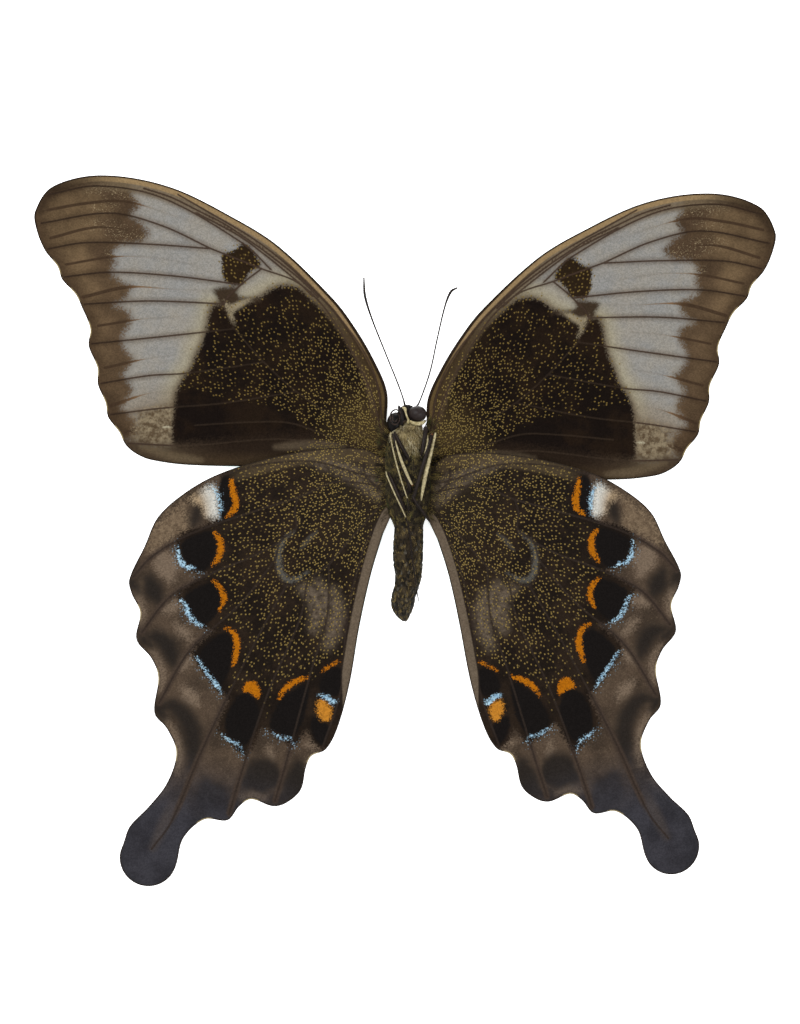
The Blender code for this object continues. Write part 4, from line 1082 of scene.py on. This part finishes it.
def body_colour(points):
    """The body's markings at places (x, v, height), for the skin and the coat alike."""
    x, v, z = points[:, 0], points[:, 1], points[:, 2]
    up = blend(2.5, 4.5, z)

    def over(colour, target, share):
        return colour + (np.array(seen(*target)[:3]) - colour) * np.clip(share, 0, 1)[:, None]

    colour = np.tile(np.array(seen(50, 42, 28)[:3]), (len(points), 1))
    colour = over(colour, (36, 33, 22), 1.0 - up)
    root = blend(1.9, 2.6, np.abs(x)) * blend(5.5, 7.5, v) * (1 - blend(11.0, 12.5, v))
    colour = over(colour, (72, 68, 38), 0.7 * root)
    middle = up * (1 - blend(0.8, 1.6, np.abs(x))) * blend(1.0, 2.5, v) * (1 - blend(9.0, 10.5, v))
    colour = over(colour, (34, 27, 20), 0.7 * middle)
    abdomen = 1.0 - blend(0.2, 1.4, v)
    colour = over(colour, (66, 55, 36), abdomen * up)
    colour = over(colour, (54, 44, 31), abdomen * up * (1 - blend(0.2, 0.9, np.abs(x - 0.2))))
    colour = over(colour, (60, 54, 44), abdomen * (1 - blend(-9.5, -7.5, v)))
    collar = up * blend(11.2, 12.6, v) * (1 - blend(0.9, 1.6, np.abs(x - 0.2)))
    colour = over(colour, (132, 116, 78), collar)
    colour = over(colour, (27, 22, 19), blend(13.9, 14.3, v))
    lines = up * blend(8.8, 9.8, v) * (1 - blend(10.8, 11.6, v))
    for at in (0.42, 1.0):
        colour = over(colour, (128, 118, 72), lines * (1 - blend(0.1, 0.28, np.abs(x - at))))
    return colour


def coat_material(name, root_shade_and_variety=0.3):
    n = Nodes(name)
    along = n.field("along")
    own = n.field("own")
    # Painted shade and light: each hair darker towards its root, where the coat covers it, and lighter at
    # its tip; the same number also sets each hair's own spread of tone
    colour = n.times(n.colours("coat"), n.step(along, 0.0, 1.0, 0.9 - root_shade_and_variety, 1.25))
    colour = n.times(colour, n.step(own, 0.0, 1.0, 1.0 - root_shade_and_variety, 1.0 + root_shade_and_variety))
    colour = n.times(colour, n.step(n.noise(6.0), 0.2, 0.8, 0.85, 1.15))
    return n.finish(colour, n.step(own, 0.0, 1.0, 0.55, 0.8), None)


def skin_material():
    n = Nodes("body_skin")
    scale_grain(n)
    colour = n.times(n.colours("coat"), n.step(n.noise(3.0, 4.0), 0.25, 0.75, 0.55, 1.05))
    flecks = n.math("MULTIPLY", n.field("flecks"), n.step(n.noise(0.7), 0.35, 0.6))
    colour = gold_flecks(n, colour, flecks)
    colour = n.times(colour, n.step(n.field("groove"), 0.0, 1.0, 1.0, 0.6))
    return n.finish(colour, n.step(n.grain, 0.0, 1.0, 0.6, 0.8), n.relief, 0.6, 0.00005)


def add_skin():
    stations = ROWS[:, 0]
    turns = 2 * np.pi * np.arange(SKIN_SIDES) / SKIN_SIDES
    v, turn = (grid.ravel() for grid in np.meshgrid(stations, turns, indexing="ij"))
    points = skin_point(v, turn)
    uneven = 0.03 * np.sin(5.1 * v + 3 * turn) * np.sin(2.3 * v - 2 * turn)
    wide = blend(0.2, 0.6, np.interp(v, stations, ROWS[:, 1]))
    points += skin_normal(v, turn) * uneven[:, None] * wide[:, None]
    points[:, 2] = np.maximum(points[:, 2], FLOOR_CLEARANCE)
    faces = [face[::-1] for face in ring_faces(len(stations), SKIN_SIDES)]
    first = tuple(range(SKIN_SIDES))
    last = tuple(range((len(stations) - 1) * SKIN_SIDES, len(stations) * SKIN_SIDES))
    faces += [first, last[::-1]]
    piece = add_mesh("body_skin", to_world(points), faces, [skin_material()])
    set_colours(piece.data, "coat", body_colour(points))
    set_field(piece.data, "groove", grooves(v, 0.07, 0.5))
    flank = blend(0.5, 1.3, np.abs(points[:, 0] - 0.1))
    flecks = (1 - blend(0.0, 1.5, v)) * flank * blend(1.5, 3.0, points[:, 2])
    set_field(piece.data, "flecks", 0.9 * flecks)
    set_field(piece.data, "row_u", points[:, 0] / SKIN_FLECK_GAP)
    set_field(piece.data, "row_v", v / SKIN_FLECK_GAP)
    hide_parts("thorax", "abdomen", "head")


def add_tufts(name, roots, normals, lies, lengths, width, lifts, tints, places, material):
    """Tapered hairs joined in one mesh, with each hair's patch on the skin's unwrap."""
    count = len(roots)
    rng = np.random.default_rng(SEED + count)
    lies = lies - normals * np.einsum("ij,ij->i", lies, normals)[:, None]
    lies /= np.maximum(np.linalg.norm(lies, axis=1), 1e-9)[:, None]
    heading = lies * np.cos(lifts)[:, None] + normals * np.sin(lifts)[:, None]
    side = np.cross(heading, normals)
    side /= np.maximum(np.linalg.norm(side, axis=1), 1e-9)[:, None]
    over = np.cross(side, heading)
    curl = rng.normal(0.0, CURL, count)
    rings = []
    for share, girth in HAIR_RINGS:
        middle = roots + heading * (lengths * share)[:, None]
        middle -= normals * (lengths * DROOP * share**2 * np.sin(lifts))[:, None]
        middle += side * (lengths * curl * share**2)[:, None]
        for k in range(3):
            angle = 2 * np.pi * k / 3 + np.pi / 2
            offset = side * math.cos(angle) + over * (HAIR_FLAT * math.sin(angle))
            rings.append(middle + offset * (width * girth))
    tip = roots + heading * lengths[:, None] - normals * (lengths * DROOP * np.sin(lifts))[:, None]
    tip += side * (lengths * curl)[:, None]
    points = np.stack([*rings, tip], axis=1)
    points[:, :, 2] = np.maximum(points[:, :, 2], LEAST_HEIGHT)
    spread = np.array([(k / 2, share) for share, _ in HAIR_RINGS for k in range(3)] + [(0.5, 1.0)])
    each = len(spread)
    shape = [(0, 2, 1)]
    for ring in range(2):
        for k in range(3):
            a, b = ring * 3 + k, ring * 3 + (k + 1) % 3
            shape += [(a, b, b + 3), (a, b + 3, a + 3)]
    shape += [(6 + k, 6 + (k + 1) % 3, 9) for k in range(3)]
    shape = np.array(shape)
    faces = (shape[None] + each * np.arange(count)[:, None, None]).reshape(-1, 3)
    piece = add_mesh(name, to_world(points.reshape(-1, 3)), faces, [material])
    set_colours(piece.data, "coat", np.repeat(tints, each, axis=0))
    set_field(piece.data, "along", np.tile(spread[:, 1], count))
    set_field(piece.data, "own", np.repeat(rng.random(count), each))
    patch = places[:, None] + (spread[None] - 0.5) * BAKE_PATCH
    patch = np.clip(patch.reshape(-1, 2), 0.001, 0.999)
    layer = piece.data.uv_layers.new(name="OFBake")
    corners = np.zeros(len(piece.data.loops), np.int32)
    piece.data.loops.foreach_get("vertex_index", corners)
    layer.data.foreach_set("uv", patch[corners].ravel())


def skin_places(v, turn):
    """Places on the skin's own unwrap: round the body, and along it."""
    return np.column_stack(((turn / (2 * np.pi)) % 1.0, (v - ROWS[0, 0]) / (ROWS[-1, 0] - ROWS[0, 0])))


def grow(name, count, v_range, turn_range, lie, length, width, lift, material, accents, keep=None, seed=0,
         shades=(0.45, 1.7)):
    """A coat in bunches on a stretch of the body, from v and turns in degrees round it."""
    rng = np.random.default_rng(SEED + seed)
    v = rng.uniform(*v_range, count // BUNCH)
    turn = np.radians(rng.uniform(*turn_range, count // BUNCH))
    if keep is not None:
        chosen = rng.random(len(v)) < keep(skin_point(v, turn))
        v, turn = v[chosen], turn[chosen]
    bunches = len(v)
    tints = accented(body_colour(skin_point(v, turn)), accents, rng, shades)
    tints = np.repeat(tints, BUNCH, axis=0)
    sway = np.repeat(rng.normal(0.0, 0.26, (bunches, 3)), BUNCH, axis=0)
    v = np.clip(np.repeat(v, BUNCH) + rng.normal(0.0, 0.12, bunches * BUNCH), *v_range)
    turn = np.repeat(turn, BUNCH) + rng.normal(0.0, 0.05, bunches * BUNCH)
    points = skin_point(v, turn)
    normals = skin_normal(v, turn)
    number = len(v)
    lies = lie(points) + sway + rng.normal(0.0, 0.1, (number, 3))
    lengths = rng.uniform(*length, number)
    lifts = np.radians(rng.uniform(*lift, number))
    roots = points - normals * ROOT_DEPTH
    places = skin_places(v, turn)
    add_tufts(name, roots, normals, lies, lengths, width, lifts, tints, places, material)


def accented(colours, accents, rng, shades):
    """Each bunch's own shade of its colour, and for a share of them another colour altogether."""
    result = colours * rng.uniform(*shades, (len(colours), 1))
    drawn = rng.random(len(colours))
    start = 0.0
    for share, colour in accents:
        chosen = (drawn >= start) & (drawn < start + share)
        result[chosen] = np.array(seen(*colour)[:3]) * rng.uniform(0.8, 1.2, (chosen.sum(), 1))
        start += share
    return result


def wing_hair(name, kind, count, u_range, v_range, lean, length, material, accents, seed):
    """Hair over the wing's root, rooted in its upper face and lying outward along it."""
    rng = np.random.default_rng(SEED + seed)
    u = u_range[0] + (u_range[1] - u_range[0]) * rng.random(count // BUNCH) ** 1.7
    v = rng.uniform(*v_range, len(u))
    side = rng.choice((-1.0, 1.0), len(u))
    tints = accented(np.tile(seen(66, 55, 36)[:3], (len(u), 1)), accents, rng, (0.5, 1.5))
    tints = np.repeat(tints, BUNCH, axis=0)
    sway = np.repeat(rng.normal(0.0, 0.2, len(u)), BUNCH)
    u = np.repeat(u, BUNCH) + rng.normal(0.0, 0.12, len(tints))
    v = np.repeat(v, BUNCH) + rng.normal(0.0, 0.12, len(tints))
    side = np.repeat(side, BUNCH)
    top = WING_HEIGHTS[kind](u, v) - SOLID_HALF + 2 * HALF_SHEET
    points = np.column_stack((side * u, v, top))
    turned = lean[0] + (lean[1] - lean[0]) * (v - v_range[0]) / (v_range[1] - v_range[0]) + sway
    lies = np.column_stack((side * np.cos(turned), np.sin(turned), np.zeros(len(u))))
    normals = np.tile((0.0, 0.0, 1.0), (len(u), 1))
    lengths = rng.uniform(*length, len(u)) * (1.3 - 0.6 * (u - u_range[0]) / (u_range[1] - u_range[0]))
    lifts = np.radians(rng.uniform(2.0, 14.0, len(u)))
    places = np.column_stack((0.5 + side * u / 20.0, 0.5 + v / 40.0))
    add_tufts(name, points, normals, lies, lengths, WING_HAIR_WIDTH, lifts, tints, places, material)


def tube(points, radii, sides, step):
    """A tube's middle line, girth, ring directions, way along it and turns round it."""
    path = spline_through([(*point, radius) for point, radius in zip(points, radii)], step)
    centres, girth = path[:, :3], np.maximum(path[:, 3], 0.01)
    heading = np.gradient(centres, axis=0)
    heading /= np.linalg.norm(heading, axis=1)[:, None]
    side = np.cross(heading, (0.0, 0.0, 1.0))
    flat = np.linalg.norm(side, axis=1) < 1e-3
    side[flat] = (1.0, 0.0, 0.0)
    side /= np.linalg.norm(side, axis=1)[:, None]
    over = np.cross(side, heading)
    turns = 2 * np.pi * np.arange(sides) / sides
    ring = side[:, None] * np.cos(turns)[None, :, None] + over[:, None] * np.sin(turns)[None, :, None]
    return centres, girth, ring, way_along(centres), turns


def tube_parts(centres, girth, ring):
    """Vertices and faces of a closed tube from its middle line, girth and ring directions."""
    sides = ring.shape[1]
    vertices = (centres[:, None] + ring * girth[:, None, None]).reshape(-1, 3)
    faces = ring_faces(len(centres), sides)
    start, end = len(vertices), len(vertices) + 1
    vertices = np.vstack((vertices, centres[0], centres[-1]))
    tail = (len(centres) - 1) * sides
    for j in range(sides):
        k = (j + 1) % sides
        faces.append((k, j, start))
        faces.append((tail + j, tail + k, end))
    return vertices, faces


def horn_material(name, dark, light, roughness=0.45):
    """Dark horn with fine pits, and pale scales where the piece's stripe field says so."""
    n = Nodes(name)
    scale_grain(n)
    colour = n.mix(n.step(n.noise(4.0, 4.0), 0.3, 0.7), dark, light)
    colour = n.times(colour, n.step(n.grain, 0.0, 1.0, 0.8, 1.2))
    stripe = n.zone(n.field("stripe"), 0.5, 0.2, 0.5)
    pale = n.mix(n.step(n.noise(3.0, 3.0), 0.3, 0.7), seen(134, 122, 90), seen(188, 176, 138))
    colour = n.mix(stripe, colour, pale)
    colour = n.mix(n.step(n.field("joint"), 0.4, 0.8), colour, seen(110, 66, 34))
    rough = n.step(n.grain, 0.0, 1.0, roughness - 0.1, roughness + 0.15)
    return n.finish(colour, rough, n.relief, 0.5, 0.00003, HORN_GLOSS)


def add_antennae():
    material = horn_material("feeler_horn", seen(24, 20, 18), seen(40, 33, 28))
    for side, points in ANTENNAE.items():
        count = len(points)
        radii = [ANTENNA_RADIUS] * (count - 3) + [0.12, CLUB_RADIUS, 0.1]
        radii[0] = 0.16
        centres, girth, ring, travelled, _ = tube(points, radii, 10, 0.065)
        rings = 1.0 + 0.16 * np.abs(np.sin(np.pi * travelled / ANTENNA_RING)) - 0.08
        vertices, faces = tube_parts(centres, girth * rings, ring)
        piece = add_mesh("antenna_" + side + "_fine", to_world(vertices), faces, [material])
        for field in ("stripe", "joint"):
            set_field(piece.data, field, np.zeros(len(vertices)))
        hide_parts("antenna_" + side)


def add_proboscis():
    """A flat coil of a grooved tube, fed from the mouth."""
    points = [(-0.35, 14.2, 4.45), (-0.42, 14.1, 4.95)]
    for k in range(COIL_POINTS + 1):
        share = k / COIL_POINTS
        turn = math.radians(COIL_START + 360.0 * COIL_TURNS * share)
        (x_out, v_out), (x_in, v_in) = COIL_RADII
        points.append((
            COIL_CENTRE[0] + (x_out + (x_in - x_out) * share) * math.cos(turn),
            COIL_CENTRE[1] + (v_out + (v_in - v_out) * share) * math.sin(turn),
            COIL_CENTRE[2] + 0.12 * math.sin(2 * turn) * (1 - share) + 0.15 * share,
        ))
    radii = [TONGUE_RADIUS * (1.15 - 0.35 * k / len(points)) for k in range(len(points))]
    centres, girth, ring, travelled, _ = tube(points, radii, 12, 0.06)
    rings = 1.0 + 0.07 * np.sin(2 * np.pi * travelled / TONGUE_RING)
    vertices, faces = tube_parts(centres, girth * rings, ring)
    # The tongue's lighter brown is partly its own colour and partly a painted highlight on the coil's loops
    material = horn_material("tongue_horn_and_highlight", seen(26, 20, 17), seen(66, 52, 44), 0.35)
    bar_centres, bar_girth, bar_ring, _, _ = tube(LABRUM, LABRUM_RADII, 12, 0.12)
    bar, bar_faces = tube_parts(bar_centres, bar_girth, bar_ring)
    faces += [tuple(index + len(vertices) for index in face) for face in bar_faces]
    vertices = np.vstack((vertices, bar))
    dark = horn_material("labrum_horn", seen(15, 12, 11), seen(30, 24, 21))
    piece = add_mesh("proboscis_fine", to_world(vertices), faces, [material, dark])
    slots = np.zeros(len(faces), np.int32)
    slots[-len(bar_faces):] = 1
    piece.data.polygons.foreach_set("material_index", slots)
    for field in ("stripe", "joint"):
        set_field(piece.data, field, np.zeros(len(vertices)))
    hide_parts("proboscis")


# Legs: parts as (points, radii, side of the pale stripe in degrees or None, brown at its end)
LEGS = {
    "leg_mid_right": [
        ([(0.35, 5.0, 6.2), (0.1, 6.0, 6.55), (-0.9, 9.2, 6.6), (-1.8, 12.1, 6.1), (-1.95, 12.45, 5.9)],
         [0.2, 0.24, 0.25, 0.22, 0.15], None, False),
        ([(-2.15, 12.6, 5.9), (-2.25, 12.2, 5.95), (-1.45, 8.6, 6.5), (-0.55, 5.6, 6.85), (-0.1, 4.3, 6.9)],
         [0.07, 0.1, 0.1, 0.09, 0.07], 100.0, False),
        ([(-0.1, 4.3, 6.9), (0.05, 3.3, 6.8), (0.1, 2.4, 6.5)], [0.09, 0.08, 0.06], None, True),
    ],
    "leg_fore_right": [
        ([(0.2, 9.0, 6.2), (-0.1, 9.6, 6.5), (-0.9, 11.0, 6.5), (-1.6, 12.4, 5.9), (-1.7, 12.7, 5.7)],
         [0.16, 0.2, 0.22, 0.2, 0.12], None, False),
        ([(-1.6, 11.6, 6.5), (-1.4, 10.8, 6.65), (-0.9, 9.2, 6.8), (-0.3, 7.7, 6.85), (0.3, 6.4, 6.8),
          (0.6, 5.9, 6.7)], [0.05, 0.11, 0.17, 0.2, 0.15, 0.11], 90.0, True),
    ],
    "leg_mid_left": [
        ([(0.5, 3.9, 6.4), (0.75, 4.6, 6.65), (1.5, 7.2, 6.75), (2.3, 9.9, 6.2), (2.95, 12.1, 5.5),
          (3.05, 12.45, 5.3)], [0.16, 0.22, 0.24, 0.24, 0.2, 0.12], None, True),
        ([(3.5, 12.6, 5.1), (3.42, 12.2, 5.2), (3.0, 10.4, 5.6), (2.5, 8.4, 6.15), (2.1, 6.6, 6.45),
          (1.75, 4.6, 6.5), (1.68, 4.0, 6.4)], [0.1, 0.16, 0.22, 0.28, 0.27, 0.16, 0.08], 60.0, False),
    ],
    "leg_fore_left": [
        ([(1.7, 9.7, 6.0), (1.8, 10.4, 6.2), (2.1, 12.2, 5.9), (2.25, 13.1, 5.3), (2.2, 13.3, 5.0)],
         [0.16, 0.24, 0.26, 0.3, 0.2], None, False),
        ([(2.5, 12.3, 5.6), (2.45, 11.4, 5.9), (2.2, 10.2, 6.15), (2.05, 9.6, 6.2)],
         [0.07, 0.11, 0.11, 0.07], 60.0, True),
    ],
    "leg_hind_right": [
        ([(-0.45, 2.9, 6.3), (-0.7, 3.5, 6.4), (-1.5, 5.4, 6.05), (-2.35, 7.3, 5.4), (-2.45, 7.6, 5.2)],
         [0.14, 0.2, 0.21, 0.17, 0.1], None, False),
        ([(-2.8, 7.75, 5.2), (-2.72, 7.3, 5.35), (-1.6, 4.7, 6.1), (-0.75, 2.9, 6.35), (-0.3, 1.9, 6.2)],
         [0.06, 0.09, 0.1, 0.09, 0.06], 90.0, False),
        ([(-0.3, 1.9, 6.2), (0.05, 0.8, 5.5), (0.3, -0.8, 4.85), (0.55, -3.4, 4.75), (0.85, -5.6, 4.6),
          (1.16, -7.7, 4.3)], [0.09, 0.1, 0.1, 0.09, 0.08, 0.07], None, False),
        ([(1.16, -7.7, 4.3), (1.3, -8.5, 4.1), (1.42, -9.1, 3.9)], [0.07, 0.05, 0.015], None, True),
    ],
    "leg_hind_left": [
        ([(0.55, 4.6, 6.75), (0.9, 3.9, 6.8), (1.7, 2.8, 6.5), (2.5, 1.7, 5.6), (2.8, 1.3, 5.1)],
         [0.16, 0.22, 0.2, 0.15, 0.08], None, False),
    ],
}
SPINE_LENGTH = 0.28
SPINE_EVERY = 0.7


def spines(centres, girth, ring, rng):
    """Short bristles along a leg's part."""
    vertices, faces = [], []
    travelled = way_along(centres)
    sides = ring.shape[1]
    for at in np.arange(0.6, travelled[-1] - 0.3, SPINE_EVERY):
        i = int(np.searchsorted(travelled, at))
        j = int(rng.integers(sides))
        out = ring[i, j]
        forward = centres[min(i + 1, len(centres) - 1)] - centres[max(i - 1, 0)]
        forward /= np.linalg.norm(forward)
        across = np.cross(out, forward)
        root = centres[i] + out * girth[i] * 0.8
        first = len(vertices)
        vertices += [root + across * 0.035, root - across * 0.035, root + forward * 0.05]
        vertices.append(root + (out * 0.6 + forward * 0.8) * SPINE_LENGTH)
        faces += [(first, first + 2, first + 1), (first, first + 1, first + 3)]
        faces += [(first + 1, first + 2, first + 3), (first + 2, first, first + 3)]
    return vertices, faces


def add_legs():
    material = horn_material("leg_horn", seen(20, 15, 13), seen(40, 31, 25))
    rng = np.random.default_rng(SEED + 50)
    for name, parts in LEGS.items():
        all_vertices, all_faces, stripe, joint = [], [], [], []
        for points, radii, pale_side, brown_end in parts:
            centres, girth, ring, travelled, turns = tube(points, radii, 14, 0.1)
            vertices, faces = tube_parts(centres, girth, ring)
            if pale_side is None:
                pale = np.zeros(len(vertices))
            else:
                facing = np.cos(turns - math.radians(pale_side))
                pale = np.tile(blend(-0.3, 0.3, facing), len(centres))
                pale = np.concatenate((pale, (0.0, 0.0)))
            share = np.repeat(travelled / travelled[-1], ring.shape[1])
            ends = blend(0.95, 1.0, share) if brown_end else np.zeros(len(share))
            spiny, spiny_faces = spines(centres, girth, ring, rng)
            for offset, new_vertices, new_faces in (
                (len(all_vertices), vertices.tolist(), faces),
                (len(all_vertices) + len(vertices), [list(p) for p in spiny], spiny_faces),
            ):
                all_vertices += new_vertices
                all_faces += [tuple(index + offset for index in face) for face in new_faces]
            stripe += [*pale, *np.zeros(len(spiny))]
            joint += [*ends, 0.0, 0.0, *np.zeros(len(spiny))]
        piece = add_mesh(name + "_fine", to_world(all_vertices), all_faces, [material])
        set_field(piece.data, "stripe", stripe)
        set_field(piece.data, "joint", joint)
        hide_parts(name)


def add_eyes():
    n = Nodes("eye_facets")
    gap, own = n.cells(16.0, 0.3)
    colour = n.mix(n.step(n.noise(0.9, 3.0), 0.35, 0.65), seen(38, 31, 30), seen(50, 42, 40))
    colour = n.times(colour, n.step(gap, 0.1, 0.55, 1.1, 0.8))
    # Painted shade: each eye darker over its sides and underside, where its surface turns down away from the
    # light
    colour = n.mix(n.step(n.field("rim"), 0.4, 0.15), colour, seen(16, 13, 12))
    colour = n.mix(n.field("shaded"), colour, seen(17, 14, 13))
    material = n.finish(colour, n.step(own, 0.0, 1.0, 0.3, 0.42), gap, 0.25, 0.00002, 0.1)
    for side, (centre, half_sizes) in EYES.items():
        polar, turn = (grid.ravel() for grid in np.meshgrid(
            np.linspace(0.0, np.pi, EYE_RINGS), 2 * np.pi * np.arange(EYE_SIDES) / EYE_SIDES, indexing="ij"))
        unit = np.column_stack((np.sin(polar) * np.cos(turn), np.sin(polar) * np.sin(turn), np.cos(polar)))
        points = np.array(centre) + unit * np.array(half_sizes)
        faces = [(a, d, c, b) for a, b, c, d in ring_faces(EYE_RINGS, EYE_SIDES)]
        piece = add_mesh("eye_" + side + "_fine", to_world(points), faces, [material])
        # rim: height on the eye, which sets its painted shade
        set_field(piece.data, "rim", unit[:, 2])
        set_field(piece.data, "shaded", np.full(len(unit), 1.0 if side == "right" else 0.0))
        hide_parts("eye_" + side)


# Pale scaled ridges of the face: middle line and half width along it
FACE_RIDGES = {
    "palp_right": ([(-0.7, 15.85, 4.3), (-0.4, 15.66, 4.75), (-0.31, 15.23, 4.9), (-0.15, 14.72, 5.0),
                    (0.03, 14.27, 5.0), (0.01, 13.82, 4.9)], [0.12, 0.2, 0.13, 0.11, 0.14, 0.17]),
    "palp_left": ([(0.2, 14.1, 4.9), (0.65, 13.86, 4.85), (1.29, 13.76, 4.75), (1.86, 13.92, 4.5),
                   (2.2, 14.2, 4.1)], [0.14, 0.23, 0.26, 0.24, 0.1]),
}


def add_face_ridges():
    n = Nodes("face_scales")
    scale_grain(n)
    colour = n.mix(n.step(n.noise(2.5, 4.0), 0.3, 0.7), seen(150, 136, 94), seen(196, 184, 144))
    colour = n.times(colour, n.step(n.grain, 0.0, 1.0, 0.8, 1.1))
    material = n.finish(colour, n.step(n.grain, 0.0, 1.0, 0.7, 0.9), n.relief, 0.6, 0.00004)
    for name, (points, radii) in FACE_RIDGES.items():
        centres, girth, ring, _, _ = tube(points, radii, 16, 0.08)
        vertices, faces = tube_parts(centres, girth, ring)
        piece = add_mesh(name + "_scaled", to_world(vertices), faces, [material])
        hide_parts(name)


def add_coat():
    material = coat_material("coat_hair")
    # The cream coat gets less painted root shade and less spread of tone
    cream = coat_material("coat_cream", 0.12)

    def backward(points):
        out = np.sign(points[:, 0]) * blend(0.5, 2.5, np.abs(points[:, 0]))
        return np.column_stack((0.7 * out, np.full(len(points), -1.0), np.zeros(len(points))))

    def forward(points):
        return np.column_stack((0.3 * points[:, 0], np.full(len(points), 1.0), np.zeros(len(points))))

    def collar_only(points):
        x, v = points[:, 0], points[:, 1]
        left = np.maximum(-1.3, -1.3 + 0.6 * (12.8 - v))
        outside = np.maximum(left - x, x - 1.3)
        return (1 - blend(0.0, 0.3, outside)) * (points[:, 2] > 3.2)

    dark, gold, olive, green = (34, 28, 20), (128, 112, 66), (92, 82, 50), (76, 82, 42)
    flank = [(0.22, dark), (0.2, gold), (0.2, olive), (0.04, green)]
    belly = [(0.26, (28, 24, 20)), (0.24, (124, 106, 66)), (0.06, (102, 96, 84))]
    beige = [(0.18, (100, 84, 58)), (0.2, (198, 187, 152)), (0.4, (160, 144, 104))]
    grow("coat_thorax", 11000, (1.0, 12.6), (-20, 200), backward, (0.6, 1.4), 0.04, (8, 34), material,
         flank, seed=1)
    grow("coat_thorax_back", 2500, (1.0, 12.8), (200, 340), backward, (0.4, 0.8), 0.04, (5, 20), material,
         flank, seed=2)
    grow("coat_abdomen", 9000, (-11.2, 0.8), (-30, 210), backward, (0.26, 0.46), 0.04, (4, 18), material,
         belly, seed=3)
    grow("coat_collar", 5400, (10.8, 13.9), (20, 160), backward, (0.9, 1.8), 0.055, (3, 18), cream,
         beige, collar_only, 4, (0.75, 1.2))
    grow("coat_head", 1500, (14.2, 16.2), (-20, 200), forward, (0.2, 0.45), 0.03, (20, 55), material,
         [(0.1, (60, 50, 36))], seed=5)
    for name, kind, count, u_range, v_range, lean, length, seed in (
        ("hair_forewings", "fore", 1100, (2.3, 3.7), (9.2, 14.0), (-0.15, 0.9), (0.5, 1.0), 6),
        ("hair_hindwings", "hind", 1500, (2.3, 3.8), (2.0, 8.6), (-0.9, 0.1), (0.5, 1.1), 7),
    ):
        wing_hair(name, kind, count, u_range, v_range, lean, length, material, flank, seed)


def add_wings():
    uppersides = {kind: wing_upperside(kind) for kind in ("fore", "hind")}
    undersides = {"fore": forewing_underside(), "hind": hindwing_underside()}
    for kind, fields_of in (("fore", fore_fields), ("hind", hind_fields)):
        plan, triangles, edge, veins = wing_plan(kind)
        fields = fields_of(plan)
        fields["edge"] = nearest_on(plan, edge)[0]
        fields["vein"] = np.min([nearest_on(plan, line)[0] for line in veins], axis=0)
        if kind == "fore":
            streaks = [nearest_on(plan, spline_through(line, FIELD_STEP))[0] for line, _ in FORE_STREAKS]
            fields["line"] = np.minimum(fields["vein"], np.min(streaks, axis=0) + STREAK_BEHIND_VEIN)
        for side_name in SIDES:
            add_wing(kind, side_name, plan, triangles, fields, [undersides[kind], uppersides[kind]])


def add_floor():
    mesh = bpy.data.meshes.new("floor")
    half = CARD_HALF
    corners = [(-half, -half, 0.0), (half, -half, 0.0), (half, half, 0.0), (-half, half, 0.0)]
    mesh.from_pydata(corners, [], [(0, 1, 2, 3)])
    n = Nodes("white_card")
    colour = n.mix(n.noise(0.02, 3.0), (0.9, 0.9, 0.9, 1.0), (0.93, 0.93, 0.93, 1.0))
    n.feed(n.shader.inputs["Emission Color"], colour)
    n.shader.inputs["Emission Strength"].default_value = CARD_GLOW
    mesh.materials.append(n.finish(colour, n.step(n.noise(0.3), 0.0, 1.0, 0.85, 0.95), n.noise(2.0), 0.05))
    floor = bpy.data.objects.new("floor", mesh)
    bpy.context.scene.collection.objects.link(floor)


def add_light(name, place, size, power):
    """A round light that faces the specimen."""
    data = bpy.data.lights.new(name, "AREA")
    data.shape = "DISK"
    data.size = size
    data.energy = power
    light = bpy.data.objects.new(name, data)
    light.location = place
    light.rotation_euler = (-Vector(place)).to_track_quat("-Z", "Y").to_euler()
    bpy.context.scene.collection.objects.link(light)


def add_studio():
    scene = bpy.context.scene
    scene.view_settings.view_transform = "Standard"
    world = bpy.data.worlds.new("studio")
    world.use_nodes = True
    background = world.node_tree.nodes["Background"]
    background.inputs["Color"].default_value = (1.0, 1.0, 1.0, 1.0)
    background.inputs["Strength"].default_value = SKY_STRENGTH
    scene.world = world
    for name, (place, size, power) in LIGHTS.items():
        add_light(name, place, size, power)


def add_camera():
    data = bpy.data.cameras.new("camera")
    data.lens = LENS
    data.sensor_width = SENSOR
    data.clip_start, data.clip_end = CLIP
    camera = bpy.data.objects.new("camera", data)
    distance = VIEW_HEIGHT_MM * MM * LENS / SENSOR
    camera.location = (VIEW_MIDDLE[0] * MM, VIEW_MIDDLE[1] * MM, distance + VIEW_PLANE)
    bpy.context.scene.collection.objects.link(camera)
    bpy.context.scene.camera = camera


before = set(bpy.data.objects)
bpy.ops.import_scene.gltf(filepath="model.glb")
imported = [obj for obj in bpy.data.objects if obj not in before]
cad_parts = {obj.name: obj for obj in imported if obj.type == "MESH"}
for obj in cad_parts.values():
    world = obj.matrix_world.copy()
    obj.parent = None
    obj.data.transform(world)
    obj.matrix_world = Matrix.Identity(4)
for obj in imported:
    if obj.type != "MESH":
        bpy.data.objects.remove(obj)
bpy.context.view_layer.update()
add_camera()
add_wings()
add_skin()
add_eyes()
add_face_ridges()
add_antennae()
add_proboscis()
add_legs()
add_coat()
add_floor()
add_studio()
